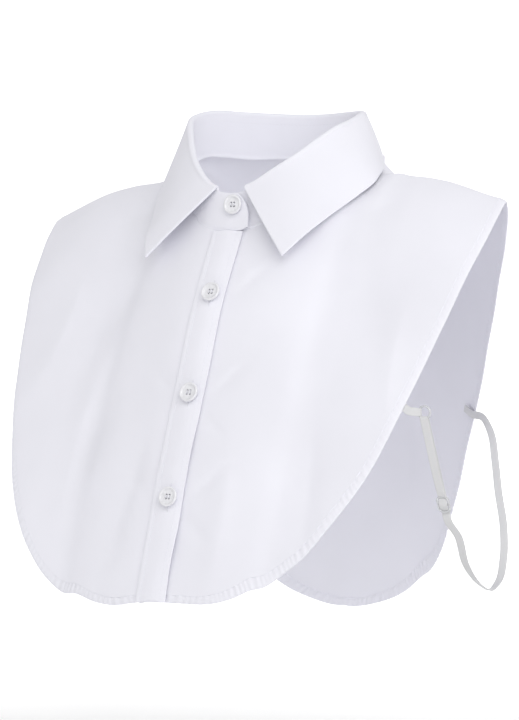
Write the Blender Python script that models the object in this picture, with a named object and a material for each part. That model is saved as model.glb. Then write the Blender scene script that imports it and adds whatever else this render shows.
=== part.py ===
"""Detachable shirt collar: a half shirt of two fronts, a back, a collar stand and a turned-down collar.

Metres, +Z up. The wearer faces -Y and the wearer's left is +X. The origin is the centre of the neck
opening, level with the side of the neck. Every panel is cut from one drape: a cloth that runs forward
and back from the shoulder line. A place on it is given by x, across the body, and by the length of
cloth from the shoulder line, positive to the front and negative to the back.
The tables are in centimetres and degrees, and CM turns the centimetres into metres.
"""
import math

import bmesh
import bpy
import numpy as np
from mathutils import Matrix, Vector

CM = 0.01

# Thickness of each cloth piece, and the width of the narrow hem. A hem that a ray meets at a slant is
# measured along the ray, up to the slant of LEAST_SQUARE.
PANEL_WALL = 0.0012
HEM_WALL = 0.0020
HEM_WIDTH = 0.006
LEAST_SQUARE = 0.5
PLACKET_WALL = 0.0014
STAND_WALL = 0.0020
LEAF_WALL = 0.0018

# The fronts overlap at the centre, right over left, and the placket lies on the right one.
PLACKET_HALF_WIDTH = 0.0105
RIGHT_FRONT_EDGE = 0.0088
RIGHT_FRONT_LIFT = 0.0025
LIFT_STARTS = -0.045
LIFT_ENDS = -0.014
PLACKET_LIFT = 0.0042
RIGHT_UNDER_STAND = 0.0009
PLACKET_UNDER_STAND = 0.0019

# Shoulder seam and neck seam
SHOULDER_GAP = 0.0002
SEAM_ANGLE = 97.3
NECK_RADIUS_SIDE = 0.0628
NECK_RADIUS_FRONT = 0.0576
NECK_FRONT_ANGLE = 60.0
NECK_PAST_CENTRE = 20.0
UNDER_STAND_FADE = (16.0, 46.0)

# The shoulder line, from the centre of the neck to the shoulder tip
SHOULDER_COLUMNS = ("x", "y", "z")
SHOULDER_LINE = (
    (0.0, 0.80, 1.80),
    (4.0, 0.80, 1.20),
    (6.3, 0.80, 0.10),
    (7.5, 0.70, -1.05),
    (9.0, 0.45, -1.75),
    (11.5, 0.00, -2.15),
    (14.5, -0.60, -2.80),
    (17.5, -1.20, -3.45),
)

# The fall of the cloth from the shoulder line, at the centre of the body and at the shoulder tip
FALL_COLUMNS = ("length", "centre_y", "centre_z", "tip_y", "tip_z")
FALL = (
    (-37.60, 8.00, -33.00, 1.20, -37.10),
    (-26.60, 8.70, -22.00, 1.20, -26.10),
    (-18.60, 8.50, -14.00, 1.00, -18.10),
    (-12.60, 7.90, -8.00, 0.90, -12.15),
    (-8.50, 6.90, -4.00, 0.83, -8.05),
    (-5.80, 5.50, -1.70, 0.80, -5.40),
    (-3.05, 3.00, -0.50, 0.78, -2.65),
    (-1.20, 1.20, -0.08, 0.62, -0.72),
    (0.00, 0.00, 0.00, 0.00, 0.00),
    (1.50, -1.50, -0.25, -1.05, -1.00),
    (3.30, -3.10, -1.10, -2.10, -2.45),
    (6.20, -5.00, -3.30, -3.75, -4.85),
    (10.30, -6.60, -7.00, -5.70, -8.35),
    (14.80, -8.65, -10.90, -7.75, -12.35),
    (21.50, -11.10, -17.15, -10.70, -18.30),
    (28.20, -13.40, -23.50, -14.00, -24.20),
    (34.90, -15.40, -29.95, -16.70, -30.35),
)
SHOULDER_TIP_X = 0.175

# The cut edge of each panel, from the shoulder tip to the middle of the hem. The shirt sits lower on the
# wearer's right, so the right front's edge runs out further there. The back's two halves are alike.
# Each row gives x, then the length of cloth from the shoulder line.
FRONT_EDGE_LEFT = (
    (17.5, 0.0),
    (17.25, 2.3),
    (16.95, 4.5),
    (16.45, 7.6),
    (15.75, 11.0),
    (15.0, 14.4),
    (14.0, 18.5),
    (13.1, 21.3),
    (11.6, 24.5),
    (10.0, 27.1),
    (8.4, 29.2),
    (7.0, 31.1),
    (5.3, 33.2),
    (3.5, 34.3),
    (1.7, 34.65),
    (0.0, 34.8),
)
FRONT_EDGE_RIGHT = (
    (17.5, 0.0),
    (17.4, 3.0),
    (17.05, 5.5),
    (16.6, 7.8),
    (15.9, 11.9),
    (15.1, 15.7),
    (14.25, 19.4),
    (13.3, 22.6),
    (12.4, 24.8),
    (11.2, 27.1),
    (9.7, 29.2),
    (8.1, 31.1),
    (6.4, 32.9),
    (4.6, 34.3),
    (2.9, 34.95),
    (1.3, 34.9),
    (0.0, 34.8),
)
BACK_EDGE = (
    (17.5, 0.0),
    (17.0, -3.0),
    (16.0, -7.0),
    (15.0, -10.2),
    (13.5, -14.6),
    (12.0, -18.6),
    (10.0, -24.4),
    (8.5, -28.6),
    (7.0, -31.6),
    (5.0, -34.8),
    (3.0, -36.5),
    (0.0, -37.4),
)

# The tip of the wearer's right shoulder droops.
TIP_DROOP = 0.0055
TIP_DROOP_FROM = 0.130

# The largest soft folds: where each starts and ends on the drape, its half width and its height
FOLD_COLUMNS = ("x_start", "length_start", "x_end", "length_end", "half_width", "height")
FOLDS = (
    (9.5, 6.0, 12.5, 17.0, 1.6, -0.14),
    (5.5, 13.0, 8.5, 25.0, 1.8, 0.12),
    (-8.5, 8.0, -10.5, 20.0, 1.7, -0.12),
    (-4.5, 17.0, -6.5, 29.0, 1.8, 0.12),
    (8.0, -8.0, 10.5, -19.0, 1.8, -0.14),
    (-7.5, -9.0, -9.5, -21.0, 1.8, -0.13),
    (1.0, -13.0, 2.0, -28.0, 2.2, 0.15),
)

# The stand by the angle from the front centre: its upper edge, and where its foot is from the neck edge
STAND_COLUMNS = ("angle", "radius", "z", "foot_out", "foot_up")
STAND = (
    (0.0, 5.62, -2.75, 0.10, 0.12),
    (12.0, 5.62, -2.50, 0.10, 0.12),
    (30.0, 5.58, -1.40, 0.02, 0.12),
    (46.0, 5.56, -0.30, -0.17, -0.06),
    (58.0, 5.55, 0.60, -0.17, -0.06),
    (72.0, 5.55, 1.50, -0.17, -0.06),
    (86.0, 5.55, 2.05, -0.17, -0.06),
    (104.0, 5.55, 2.60, -0.17, -0.06),
    (125.0, 5.55, 2.80, -0.17, -0.06),
    (180.0, 5.55, 2.80, -0.17, -0.06),
)
STAND_LEAN = 0.003
STAND_OVERLAP = 14.0
STAND_LAYER_GAP = 0.0024
LAYER_FADE = 45.0
END_ROUNDS_FROM = 2.0
END_LEAST_HEIGHT = 0.30

# The turned-down collar: where each thread leaves the fold and where it reaches the lower edge
LEAF_COLUMNS = ("fold_angle", "edge_angle", "edge_radius", "edge_z", "sideways")
LEAF = (
    (10.0, 35.4, 9.02, -6.85, -0.36),
    (22.0, 43.5, 8.80, -5.75, -0.15),
    (36.0, 52.5, 8.42, -4.90, 0.08),
    (52.0, 64.0, 8.35, -3.50, 0.18),
    (68.0, 76.0, 8.45, -2.28, 0.20),
    (84.0, 87.5, 7.85, -1.10, 0.20),
    (100.0, 101.0, 7.25, -0.36, 0.15),
    (125.0, 125.0, 6.95, -0.02, 0.10),
    (180.0, 180.0, 6.90, -0.10, 0.00),
)
LEAF_ROLL_RADIUS = 0.0014
LEAF_SEAT = 0.0005
LEAF_CLEARANCE = 0.0026
LEAF_BULGE = 0.0008

# Buttons, with the outer edge as shares of the radius and the thickness. Then the place on the stand of
# the first one, and the length of cloth at each one on the placket.
BUTTON_RADIUS = 0.0064
BUTTON_THICKNESS = 0.0026
BUTTON_RIM = 0.0013
BUTTON_DISH = 0.0008
BUTTON_SEAT = 0.0004
BUTTON_HOLE_RADIUS = 0.0008
BUTTON_HOLE_RING = 0.0015
BUTTON_HOLES = 4
BUTTON_EDGE = ((0.86, 0.0), (1.0, 0.45), (0.95, 0.92))
STAND_BUTTON_ANGLE = 3.5
STAND_BUTTON_RISE = 0.66
PLACKET_BUTTONS = (15.0, 21.7, 28.4)
PLACKET_BUTTON_SIDE = 0.0022

# The elastic side straps. The left one is given, and the right one mirrors it a little further in.
# Sewn rows give x, then length on the drape. The other rows and centres give x, y, z.
TAPE_WIDTH = 0.005
TAPE_WALL = 0.0010
TAB_SEWN = (
    (13.70, 16.00),
    (14.30, 16.10),
)
TAB_MIDDLE = (14.72, -8.80, -16.25)
LOOP_SEWN = (
    (12.30, -17.30),
    (11.50, -17.40),
)
SEWN_INSIDE = 0.0024
SLOPE_STEP = 0.002
STRAP_ACROSS = (0.95, 0.25, 0.0)
STRAP_GAP = 0.0003
RING_CENTRE = (15.50, -8.24, -16.35)
RING_RADIUS = 0.0038
RING_WIRE = 0.0007
RING_TURNS = 20
RING_SIDES = 6
SLIDER_CENTRE = (16.13, -6.95, -21.95)
SLIDER_WIDTH = 0.0085
SLIDER_HEIGHT = 0.0105
SLIDER_WALL = 0.0020
SLIDER_BAR = 0.0014
LOOP_ROUTE = (
    (16.48, -5.70, -24.00),
    (16.38, -4.60, -25.69),
    (16.36, -3.50, -26.68),
    (16.40, -2.40, -27.35),
    (16.52, -1.30, -27.68),
    (16.66, -0.50, -27.16),
    (16.60, 0.20, -25.97),
    (16.21, 1.00, -23.92),
    (15.51, 1.70, -21.87),
    (14.96, 2.30, -19.85),
    (14.46, 2.75, -18.22),
    (13.72, 3.20, -17.30),
)
RIGHT_STRAP_IN = 0.75
LOOP_STRAIGHT = 0.0025
LOOP_TURNS_OVER = 4
TAB_STEPS = 10
DOUBLED_STEPS = 6
LOOP_STEPS = 44

# Mesh density, and the least angle between faces that stays a sharp edge
SHARP_FROM = 40.0
RAYS_FRONT = 30
RAYS_BACK = 48
ROWS_PANEL = 13
RAY_CROWDING = 1.25
EDGE_STEPS = 800
NECK_STEPS = 600
STAND_STEPS = 49
STAND_END_STEPS = 8
STAND_ROWS = 3
LEAF_STEPS = 56
LEAF_ROLL_ROWS = 4
LEAF_FALL_ROWS = 6
PLACKET_ROWS = 22
PLACKET_STEPS = 4
BUTTON_SIDES = 24
HOLE_SIDES = 8
HALVINGS = 40

WHITE_COTTON = (0.86, 0.87, 0.92)
PALE_SATIN = (0.78, 0.78, 0.80)
PEARL_PLASTIC = (0.88, 0.88, 0.90)
CLEAR_PLASTIC = (0.80, 0.81, 0.83)


def clear_scene():
    for item in list(bpy.data.objects):
        bpy.data.objects.remove(item, do_unlink=True)


def material(name, colour, roughness):
    """A Principled material of one colour."""
    made = bpy.data.materials.new(name)
    made.use_nodes = True
    shader = made.node_tree.nodes["Principled BSDF"]
    shader.inputs["Base Color"].default_value = (*colour, 1.0)
    shader.inputs["Roughness"].default_value = roughness
    shader.inputs["Metallic"].default_value = 0.0
    return made


def through(place, knots, values):
    """A smooth curve through table rows: cubic pieces that share the mean slope at each row."""
    place = np.asarray(place, float)
    knots = np.asarray(knots, float)
    values = np.asarray(values, float).reshape(len(knots), -1)
    step = np.diff(knots)[:, None]
    side = np.diff(values, axis=0) / step
    inner = (side[:-1] * step[1:] + side[1:] * step[:-1]) / (step[1:] + step[:-1])
    slope = np.vstack([side[:1], inner, side[-1:]])
    flat = place.ravel()
    row = np.clip(np.searchsorted(knots, flat) - 1, 0, len(knots) - 2)
    width = step[row]
    part = (flat - knots[row])[:, None] / width
    rise = 3 * part**2 - 2 * part**3
    leave = part**3 - 2 * part**2 + part
    arrive = part**3 - part**2
    out = values[row] * (1 - rise) + values[row + 1] * rise
    out = out + width * (slope[row] * leave + slope[row + 1] * arrive)
    out = out.reshape(place.shape + (-1,))
    return out[..., 0] if out.shape[-1] == 1 else out


def table(rows, columns, knot, wanted, place):
    """Columns of a table, smooth between its rows, at a place along its knot column."""
    rows = np.asarray(rows, float)
    picked = [columns.index(name) for name in wanted]
    return through(place, rows[:, columns.index(knot)], rows[:, picked])


def smooth_step(value, low, high):
    """Zero below low, one above high, and an even S between."""
    part = np.clip((np.asarray(value, float) - low) / (high - low), 0.0, 1.0)
    return part * part * (3 - 2 * part)


def fold_height(x, length):
    """Height of the soft folds: each is a bell across its line that fades to nothing at both ends."""
    total = np.zeros(np.broadcast(x, length).shape)
    for row in FOLDS:
        fold = dict(zip(FOLD_COLUMNS, row))
        start = np.array([fold["x_start"], fold["length_start"]]) * CM
        run = np.array([fold["x_end"], fold["length_end"]]) * CM - start
        reach = np.hypot(*run)
        along = ((x - start[0]) * run[0] + (length - start[1]) * run[1]) / reach**2
        across = ((x - start[0]) * run[1] - (length - start[1]) * run[0]) / reach
        bell = np.exp(-(across / (fold["half_width"] * CM)) ** 2)
        fade = np.sin(np.pi * np.clip(along, 0.0, 1.0)) ** 2
        total = total + fold["height"] * CM * bell * fade
    return total


def drape_plain(x, length):
    """The bare drape: the shoulder line plus a fall that blends from the centre's to the tip's."""
    x, length = np.broadcast_arrays(np.asarray(x, float), np.asarray(length, float))
    ridge = table(SHOULDER_LINE, SHOULDER_COLUMNS, "x", ("y", "z"), np.abs(x) / CM)
    centre = table(FALL, FALL_COLUMNS, "length", ("centre_y", "centre_z"), length / CM)
    tip = table(FALL, FALL_COLUMNS, "length", ("tip_y", "tip_z"), length / CM)
    share = ((x / SHOULDER_TIP_X) ** 2)[..., None]
    place = (ridge + centre * (1 - share) + tip * share) * CM
    droop = np.clip((-x - TIP_DROOP_FROM) / (SHOULDER_TIP_X - TIP_DROOP_FROM), 0.0, None) ** 2
    place[..., 1] = place[..., 1] - TIP_DROOP * droop
    return np.concatenate([x[..., None], place], axis=-1)


def drape_out(x, length):
    """The outward direction of the drape, from its slopes along x and along the cloth."""
    small = 0.0005
    along_x = drape_plain(x + small, length) - drape_plain(x - small, length)
    along_cloth = drape_plain(x, length + small) - drape_plain(x, length - small)
    out = np.cross(along_cloth, along_x)
    return out / np.linalg.norm(out, axis=-1, keepdims=True)


def drape(x, length, lift=0.0):
    """A place on the draped cloth with its folds, raised outward by lift."""
    rise = (np.asarray(lift) + fold_height(x, length))[..., None]
    return drape_plain(x, length) + drape_out(x, length) * rise


def cloth_length(x, y):
    """The cloth length at which the drape passes over a plan place, by halving."""
    x, y = np.broadcast_arrays(np.asarray(x, float), np.asarray(y, float))
    low = np.full(x.shape, BACK_EDGE[-1][1] * CM)
    high = np.full(x.shape, FRONT_EDGE_LEFT[-1][1] * CM)
    for _ in range(HALVINGS):
        middle = (low + high) / 2
        passed = drape_plain(x, middle)[..., 1] < y
        high = np.where(passed, middle, high)
        low = np.where(passed, low, middle)
    return (low + high) / 2


def neck_radius(angle):
    front = smooth_step(np.abs(angle), 0.0, NECK_FRONT_ANGLE)
    return NECK_RADIUS_FRONT + (NECK_RADIUS_SIDE - NECK_RADIUS_FRONT) * front


def neck_place(angle):
    """Place on the drape of the neck edge, by the angle from the front centre, left positive."""
    turn = np.radians(angle)
    radius = neck_radius(angle)
    x = radius * np.sin(turn)
    return np.stack([x, cloth_length(x, -radius * np.cos(turn))], axis=-1)


def edge_place(rows, other_rows):
    """Dense line of a panel's cut edge, from one shoulder tip across the hem to the other."""
    near = np.asarray(rows) * CM
    far = np.asarray(other_rows)[-2::-1] * CM * (-1, 1)
    whole = np.vstack([near, far])
    chord = np.concatenate([[0], np.cumsum(np.hypot(*np.diff(whole, axis=0).T))])
    return through(np.linspace(0, chord[-1], EDGE_STEPS), chord, whole)


def spread(line, count, both_ends):
    """Points of a line, crowded towards its start or towards both its ends."""
    chord = np.concatenate([[0], np.cumsum(np.linalg.norm(np.diff(line, axis=0), axis=1))])
    share = np.linspace(0, 1, count)
    if both_ends:
        half = np.clip(share * 2, 0, 1) ** RAY_CROWDING
        other = np.clip(2 - share * 2, 0, 1) ** RAY_CROWDING
        share = np.where(share < 0.5, half / 2, 1 - other / 2)
    else:
        share = share**RAY_CROWDING
    wanted = share * chord[-1]
    return np.stack([np.interp(wanted, chord, column) for column in line.T], axis=-1)


def panel_grid(neck_line, outer_line):
    """Rows from the neck edge to the cut edge. The last two rows hold the hem, one width in."""
    ray = outer_line - neck_line
    reach = np.linalg.norm(ray, axis=1)
    edge_run = np.gradient(outer_line, axis=0)
    edge_run = edge_run / np.linalg.norm(edge_run, axis=1, keepdims=True)
    square = np.abs(ray[:, 0] * edge_run[:, 1] - ray[:, 1] * edge_run[:, 0]) / reach
    hem = 1 - HEM_WIDTH / (reach * np.clip(square, LEAST_SQUARE, 1.0))
    step = 1 - (HEM_WIDTH - PANEL_WALL / 2) / (reach * np.clip(square, LEAST_SQUARE, 1.0))
    shares = [hem * part for part in np.linspace(0, 1, ROWS_PANEL)] + [step, np.ones(len(hem))]
    grid = np.stack([neck_line + ray * share[:, None] for share in shares])
    hemmed = np.zeros(grid.shape[:2], bool)
    hemmed[-2:] = True
    return grid, hemmed


def mesh_object(name, points, faces, look):
    """A smooth mesh with its faces turned outward."""
    mesh = bpy.data.meshes.new(name)
    mesh.from_pydata([tuple(point) for point in points], [], faces)
    work = bmesh.new()
    work.from_mesh(mesh)
    bmesh.ops.recalc_face_normals(work, faces=work.faces[:])
    work.to_mesh(mesh)
    work.free()
    mesh.shade_smooth()
    mesh.set_sharp_from_angle(angle=math.radians(SHARP_FROM))
    mesh.materials.append(look)
    made = bpy.data.objects.new(name, mesh)
    bpy.context.scene.collection.objects.link(made)
    return made


def wall(name, outer, inner, look, around=False):
    """A closed wall between two grids of points. A wall that runs right round joins its last column."""
    rows, columns = outer.shape[:2]
    points = np.concatenate([outer.reshape(-1, 3), inner.reshape(-1, 3)])
    back = rows * columns
    faces = []
    runs = columns if around else columns - 1
    for row in range(rows - 1):
        for column in range(runs):
            after = (column + 1) % columns
            a = row * columns + column
            b = row * columns + after
            c = b + columns
            d = a + columns
            faces.append((a, b, c, d))
            faces.append((back + a, back + d, back + c, back + b))
    rim = []
    for column in range(runs):
        after = (column + 1) % columns
        rim.append((column, after))
        rim.append(((rows - 1) * columns + after, (rows - 1) * columns + column))
    if not around:
        for row in range(rows - 1):
            rim.append(((row + 1) * columns, row * columns))
            rim.append((row * columns + columns - 1, (row + 1) * columns + columns - 1))
    for a, b in rim:
        faces.append((a, a + back, b + back, b))
    return mesh_object(name, points, faces, look)


def panel(name, grid, hemmed, lift, look):
    """A panel of cloth on the drape. The hem is turned to the inside, so it thickens inward only."""
    x = grid[..., 0]
    length = grid[..., 1]
    outer = drape(x, length, lift + PANEL_WALL / 2)
    inside = np.where(hemmed, HEM_WALL - PANEL_WALL / 2, PANEL_WALL / 2)
    inner = drape(x, length, lift - inside)
    return wall(name, outer, inner, look)


def front_lift(x):
    """The right front rises over the left one as it nears the centre."""
    return RIGHT_FRONT_LIFT * smooth_step(x, LIFT_STARTS, LIFT_ENDS)


def front_lines(side, edge_rows, other_rows, last_x, under_stand):
    """Neck line and cut edge of one front, as far as its own centre edge at last_x."""
    angles = np.linspace(SEAM_ANGLE, -NECK_PAST_CENTRE, NECK_STEPS)
    neck = neck_place(angles)
    drop = under_stand * (1 - smooth_step(np.abs(angles), *UNDER_STAND_FADE))
    neck[:, 1] = neck[:, 1] + drop
    neck[0, 1] = 0.0
    neck = neck[neck[:, 0] >= last_x]
    outer = edge_place(edge_rows, other_rows)
    outer = outer[outer[:, 0] >= last_x]
    neck = spread(neck, RAYS_FRONT + 1, False)
    outer = spread(outer, RAYS_FRONT + 1, False)
    neck[:, 1] = np.maximum(neck[:, 1], SHOULDER_GAP)
    outer[:, 1] = np.maximum(outer[:, 1], SHOULDER_GAP)
    return neck * (side, 1), outer * (side, 1)


def make_front_left(look):
    neck, outer = front_lines(1, FRONT_EDGE_LEFT, FRONT_EDGE_RIGHT, -PLACKET_HALF_WIDTH, 0.0)
    grid, hemmed = panel_grid(neck, outer)
    return panel("front_left", grid, hemmed, np.zeros(grid.shape[:2]), look)


def make_front_right(look):
    neck, outer = front_lines(-1, FRONT_EDGE_RIGHT, FRONT_EDGE_LEFT, -RIGHT_FRONT_EDGE,
                              RIGHT_UNDER_STAND)
    grid, hemmed = panel_grid(neck, outer)
    return panel("front_right", grid, hemmed, front_lift(grid[..., 0]), look)


def make_back(look):
    angles = np.linspace(SEAM_ANGLE, 360 - SEAM_ANGLE, NECK_STEPS)
    neck = neck_place(angles)
    neck[[0, -1], 1] = 0.0
    neck = spread(neck, RAYS_BACK + 1, True)
    outer = edge_place(BACK_EDGE, BACK_EDGE)
    outer = spread(outer, RAYS_BACK + 1, True)
    neck[:, 1] = np.minimum(neck[:, 1], -SHOULDER_GAP)
    outer[:, 1] = np.minimum(outer[:, 1], -SHOULDER_GAP)
    grid, hemmed = panel_grid(neck, outer)
    return panel("back", grid, hemmed, np.zeros(grid.shape[:2]), look)


def hem_length(x):
    """Cloth length at the front hem below x, near the centre."""
    line = edge_place(FRONT_EDGE_LEFT, FRONT_EDGE_RIGHT)
    line = line[np.abs(line[:, 0]) < 2 * PLACKET_HALF_WIDTH]
    return np.interp(x, line[::-1, 0], line[::-1, 1])


def make_placket(look):
    """A band on the right front, from the stand to the hem."""
    across = np.linspace(-PLACKET_HALF_WIDTH, PLACKET_HALF_WIDTH, PLACKET_STEPS + 1)
    top = neck_place(np.degrees(np.arcsin(across / NECK_RADIUS_FRONT)))[:, 1] + PLACKET_UNDER_STAND
    foot = hem_length(across) - PANEL_WALL / 2
    share = np.linspace(0, 1, PLACKET_ROWS + 1)[:, None]
    length = top + (foot - top) * share
    x = np.broadcast_to(across, length.shape)
    outer = drape(x, length, PLACKET_LIFT + PLACKET_WALL / 2)
    inner = drape(x, length, PLACKET_LIFT - PLACKET_WALL / 2)
    return wall("placket", outer, inner, look)


def ring_point(angle, radius, height):
    """A place round the neck, by the angle from the front centre."""
    turn = np.radians(angle)
    return np.stack([radius * np.sin(turn), -radius * np.cos(turn), height + 0.0 * turn], axis=-1)


def stand_lines(angle, layer):
    """Head and foot of the stand at an angle, its layer moving it outward."""
    around = np.abs((angle + 180.0) % 360.0 - 180.0)
    rows = table(STAND, STAND_COLUMNS, "angle", ("radius", "z", "foot_out", "foot_up"), around) * CM
    place = neck_place(around)
    neck_height = drape_plain(place[..., 0], place[..., 1])[..., 2]
    lean = STAND_LEAN * np.sin(np.radians(angle)) ** 3
    head = ring_point(angle, rows[..., 0] + layer, rows[..., 1] - lean)
    foot = ring_point(angle, neck_radius(around) + rows[..., 2] + layer, neck_height + rows[..., 3])
    return head, foot


def stand_layer(travel):
    """The right end lies a layer out, the left end a layer in, and both fade towards the sides."""
    whole = 360.0 + 2 * STAND_OVERLAP
    right = 1 - smooth_step(travel, 2 * STAND_OVERLAP, LAYER_FADE + STAND_OVERLAP)
    left = smooth_step(travel, whole - LAYER_FADE - STAND_OVERLAP, whole - 2 * STAND_OVERLAP)
    return STAND_LAYER_GAP / 2 * (right - left)


def make_stand(look):
    """A band from the right end, over the front, round the back and under the right end."""
    whole = 360.0 + 2 * STAND_OVERLAP
    near = np.linspace(0, STAND_OVERLAP, STAND_END_STEPS + 1)[:-1]
    middle = np.linspace(STAND_OVERLAP, whole - STAND_OVERLAP, STAND_STEPS)
    travel = np.concatenate([near, middle, whole - near[::-1]])
    angle = STAND_OVERLAP - travel
    head, foot = stand_lines(angle, stand_layer(travel))
    past = np.minimum(travel, whole - travel)
    inward = np.clip((STAND_OVERLAP - END_ROUNDS_FROM - past) / (STAND_OVERLAP - END_ROUNDS_FROM), 0, 1)
    height = np.sqrt(1 - (1 - END_LEAST_HEIGHT**2) * inward**2)
    rise = np.linspace(0, 1, STAND_ROWS + 1)[:, None, None]
    middle_wall = foot + (head - foot) * rise * height[:, None]
    outward = ring_point(angle, 1.0, 0.0)
    thick = outward * STAND_WALL / 2
    return wall("collar_stand", middle_wall + thick, middle_wall - thick, look)


def leaf_floor(x, y):
    """The lowest the collar may hang at a plan place, clear of the panel below it."""
    length = cloth_length(x, y)
    steep = drape_out(x, length)[..., 2]
    lift = np.where((x < 0) & (y < 0), front_lift(x), 0.0)
    return drape(x, length)[..., 2] + (LEAF_CLEARANCE + lift) / steep


def leaf_section():
    """Centre surface of the turned-down collar: a roll over the stand's head, then the fall."""
    fold = np.linspace(LEAF[0][0], 360 - LEAF[0][0], LEAF_STEPS + 1)
    signed = -fold
    around = np.minimum(fold, 360 - fold)
    side = np.where(fold <= 180, -1.0, 1.0)
    wanted = ("edge_angle", "edge_radius", "edge_z", "sideways")
    rows = table(LEAF, LEAF_COLUMNS, "fold_angle", wanted, around)
    edge = ring_point(side * rows[:, 0], rows[:, 1] * CM, rows[:, 2] * CM)
    edge[:, 0] = edge[:, 0] + rows[:, 3] * CM
    head, _ = stand_lines(signed, stand_layer(STAND_OVERLAP + fold))
    outward = ring_point(signed, 1.0, 0.0)
    up = np.array([0.0, 0.0, 1.0])
    seat = head + up * LEAF_SEAT
    centre = seat + outward * LEAF_ROLL_RADIUS + up * LEAF_ROLL_RADIUS / 2
    turn = np.radians(np.linspace(180, 0, LEAF_ROLL_ROWS + 1))[:, None, None]
    roll = centre + LEAF_ROLL_RADIUS * (np.cos(turn) * outward + np.sin(turn) * up)
    start = roll[-1]
    share = np.linspace(0, 1, LEAF_FALL_ROWS + 1)[1:, None, None]
    bow = LEAF_BULGE * np.sin(np.pi * share)
    fall = start + (edge - start) * share + outward * bow
    fall[..., 2] = np.maximum(fall[..., 2], leaf_floor(fall[..., 0], fall[..., 1]))
    return np.concatenate([seat[None], roll, fall])


def surface_out(grid):
    """Directions square to a grid of points, from its slopes both ways."""
    down = np.gradient(grid, axis=0)
    across = np.gradient(grid, axis=1)
    out = np.cross(down, across)
    return out / np.linalg.norm(out, axis=-1, keepdims=True)


def make_leaf(look):
    grid = leaf_section()
    thick = surface_out(grid) * LEAF_WALL / 2
    return wall("collar_leaf", grid + thick, grid - thick, look)


def turned(profile, sides):
    """Points and faces of a closed turned shape. The profile runs from axis to axis."""
    points = [(0.0, 0.0, profile[0][1])]
    for radius, height in profile[1:-1]:
        for index in range(sides):
            turn = 2 * math.pi * index / sides
            points.append((radius * math.cos(turn), radius * math.sin(turn), height))
    points.append((0.0, 0.0, profile[-1][1]))
    last = len(points) - 1
    rings = len(profile) - 2
    faces = []
    for index in range(sides):
        after = (index + 1) % sides
        faces.append((0, 1 + after, 1 + index))
        for ring in range(rings - 1):
            low = 1 + ring * sides
            high = low + sides
            faces.append((low + index, low + after, high + after, high + index))
        top = 1 + (rings - 1) * sides
        faces.append((top + index, top + after, last))
    return points, faces


def make_button(name, centre, out, up, look):
    """A four-hole button with a raised rim and a dished middle."""
    rim = BUTTON_RADIUS - BUTTON_RIM
    dish = BUTTON_THICKNESS - BUTTON_DISH
    profile = (
        (0.0, 0.0),
        *((BUTTON_RADIUS * wide, BUTTON_THICKNESS * high) for wide, high in BUTTON_EDGE),
        ((BUTTON_RADIUS + rim) / 2, BUTTON_THICKNESS),
        (rim, dish),
        (0.0, dish),
    )
    points, faces = turned(profile, BUTTON_SIDES)
    body = mesh_object(name, points, faces, look)
    out = Vector(out).normalized()
    right = Vector(up).cross(out).normalized()
    frame = Matrix((right, out.cross(right), out)).transposed().to_4x4()
    frame.translation = Vector(centre)
    body.matrix_world = frame
    hole_profile = (
        (0.0, -BUTTON_THICKNESS),
        (BUTTON_HOLE_RADIUS, -BUTTON_THICKNESS),
        (BUTTON_HOLE_RADIUS, 2 * BUTTON_THICKNESS),
        (0.0, 2 * BUTTON_THICKNESS),
    )
    for index in range(BUTTON_HOLES):
        turn = 2 * math.pi * (index + 0.5) / BUTTON_HOLES
        points, faces = turned(hole_profile, HOLE_SIDES)
        drill = mesh_object("%s_drill_%d" % (name, index + 1), points, faces, look)
        shift = Vector((math.cos(turn), math.sin(turn), 0.0)) * BUTTON_HOLE_RING
        drill.matrix_world = frame @ Matrix.Translation(shift)
        drill.hide_render = True
        drill.display_type = "WIRE"
        cut = body.modifiers.new("hole_%d" % (index + 1), "BOOLEAN")
        cut.operation = "DIFFERENCE"
        cut.solver = "EXACT"
        cut.object = drill


def make_buttons(look):
    angle = np.array([STAND_BUTTON_ANGLE])
    head, foot = stand_lines(angle, np.array([STAND_LAYER_GAP / 2]))
    face = foot[0] + (head[0] - foot[0]) * STAND_BUTTON_RISE
    face = face + ring_point(angle, 1.0, 0.0)[0] * (STAND_WALL / 2 + BUTTON_SEAT)
    up = head[0] - foot[0]
    out = np.cross(ring_point(angle + 90.0, 1.0, 0.0)[0], up)
    make_button("button_1", face, out, up, look)
    for index, length in enumerate(PLACKET_BUTTONS):
        place = np.array([PLACKET_BUTTON_SIDE]), np.array([length * CM])
        seat = drape(*place, PLACKET_LIFT + PLACKET_WALL / 2 + BUTTON_SEAT)[0]
        out = drape_out(*place)[0]
        make_button("button_%d" % (index + 2), seat, out, (0.0, 0.0, 1.0), look)


def ribbon(name, route, width, thickness, across, look, count):
    """A flat tape along a smooth route. Its width points the way that across says at each row."""
    rows = np.asarray(route, float)
    across = np.broadcast_to(np.asarray(across, float), rows.shape)
    chord = np.concatenate([[0], np.cumsum(np.linalg.norm(np.diff(rows, axis=0), axis=1))])
    place = np.linspace(0, chord[-1], count)
    line = through(place, chord, rows)
    across = through(place, chord, across)
    run = np.gradient(line, axis=0)
    run = run / np.linalg.norm(run, axis=1, keepdims=True)
    wide = across - run * np.sum(run * across, axis=1, keepdims=True)
    wide = wide / np.linalg.norm(wide, axis=1, keepdims=True)
    flat = np.cross(run, wide)
    left = line - wide * width / 2
    right = line + wide * width / 2
    grid = np.stack([left, right])
    return wall(name, grid + flat * thickness / 2, grid - flat * thickness / 2, look)


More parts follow.
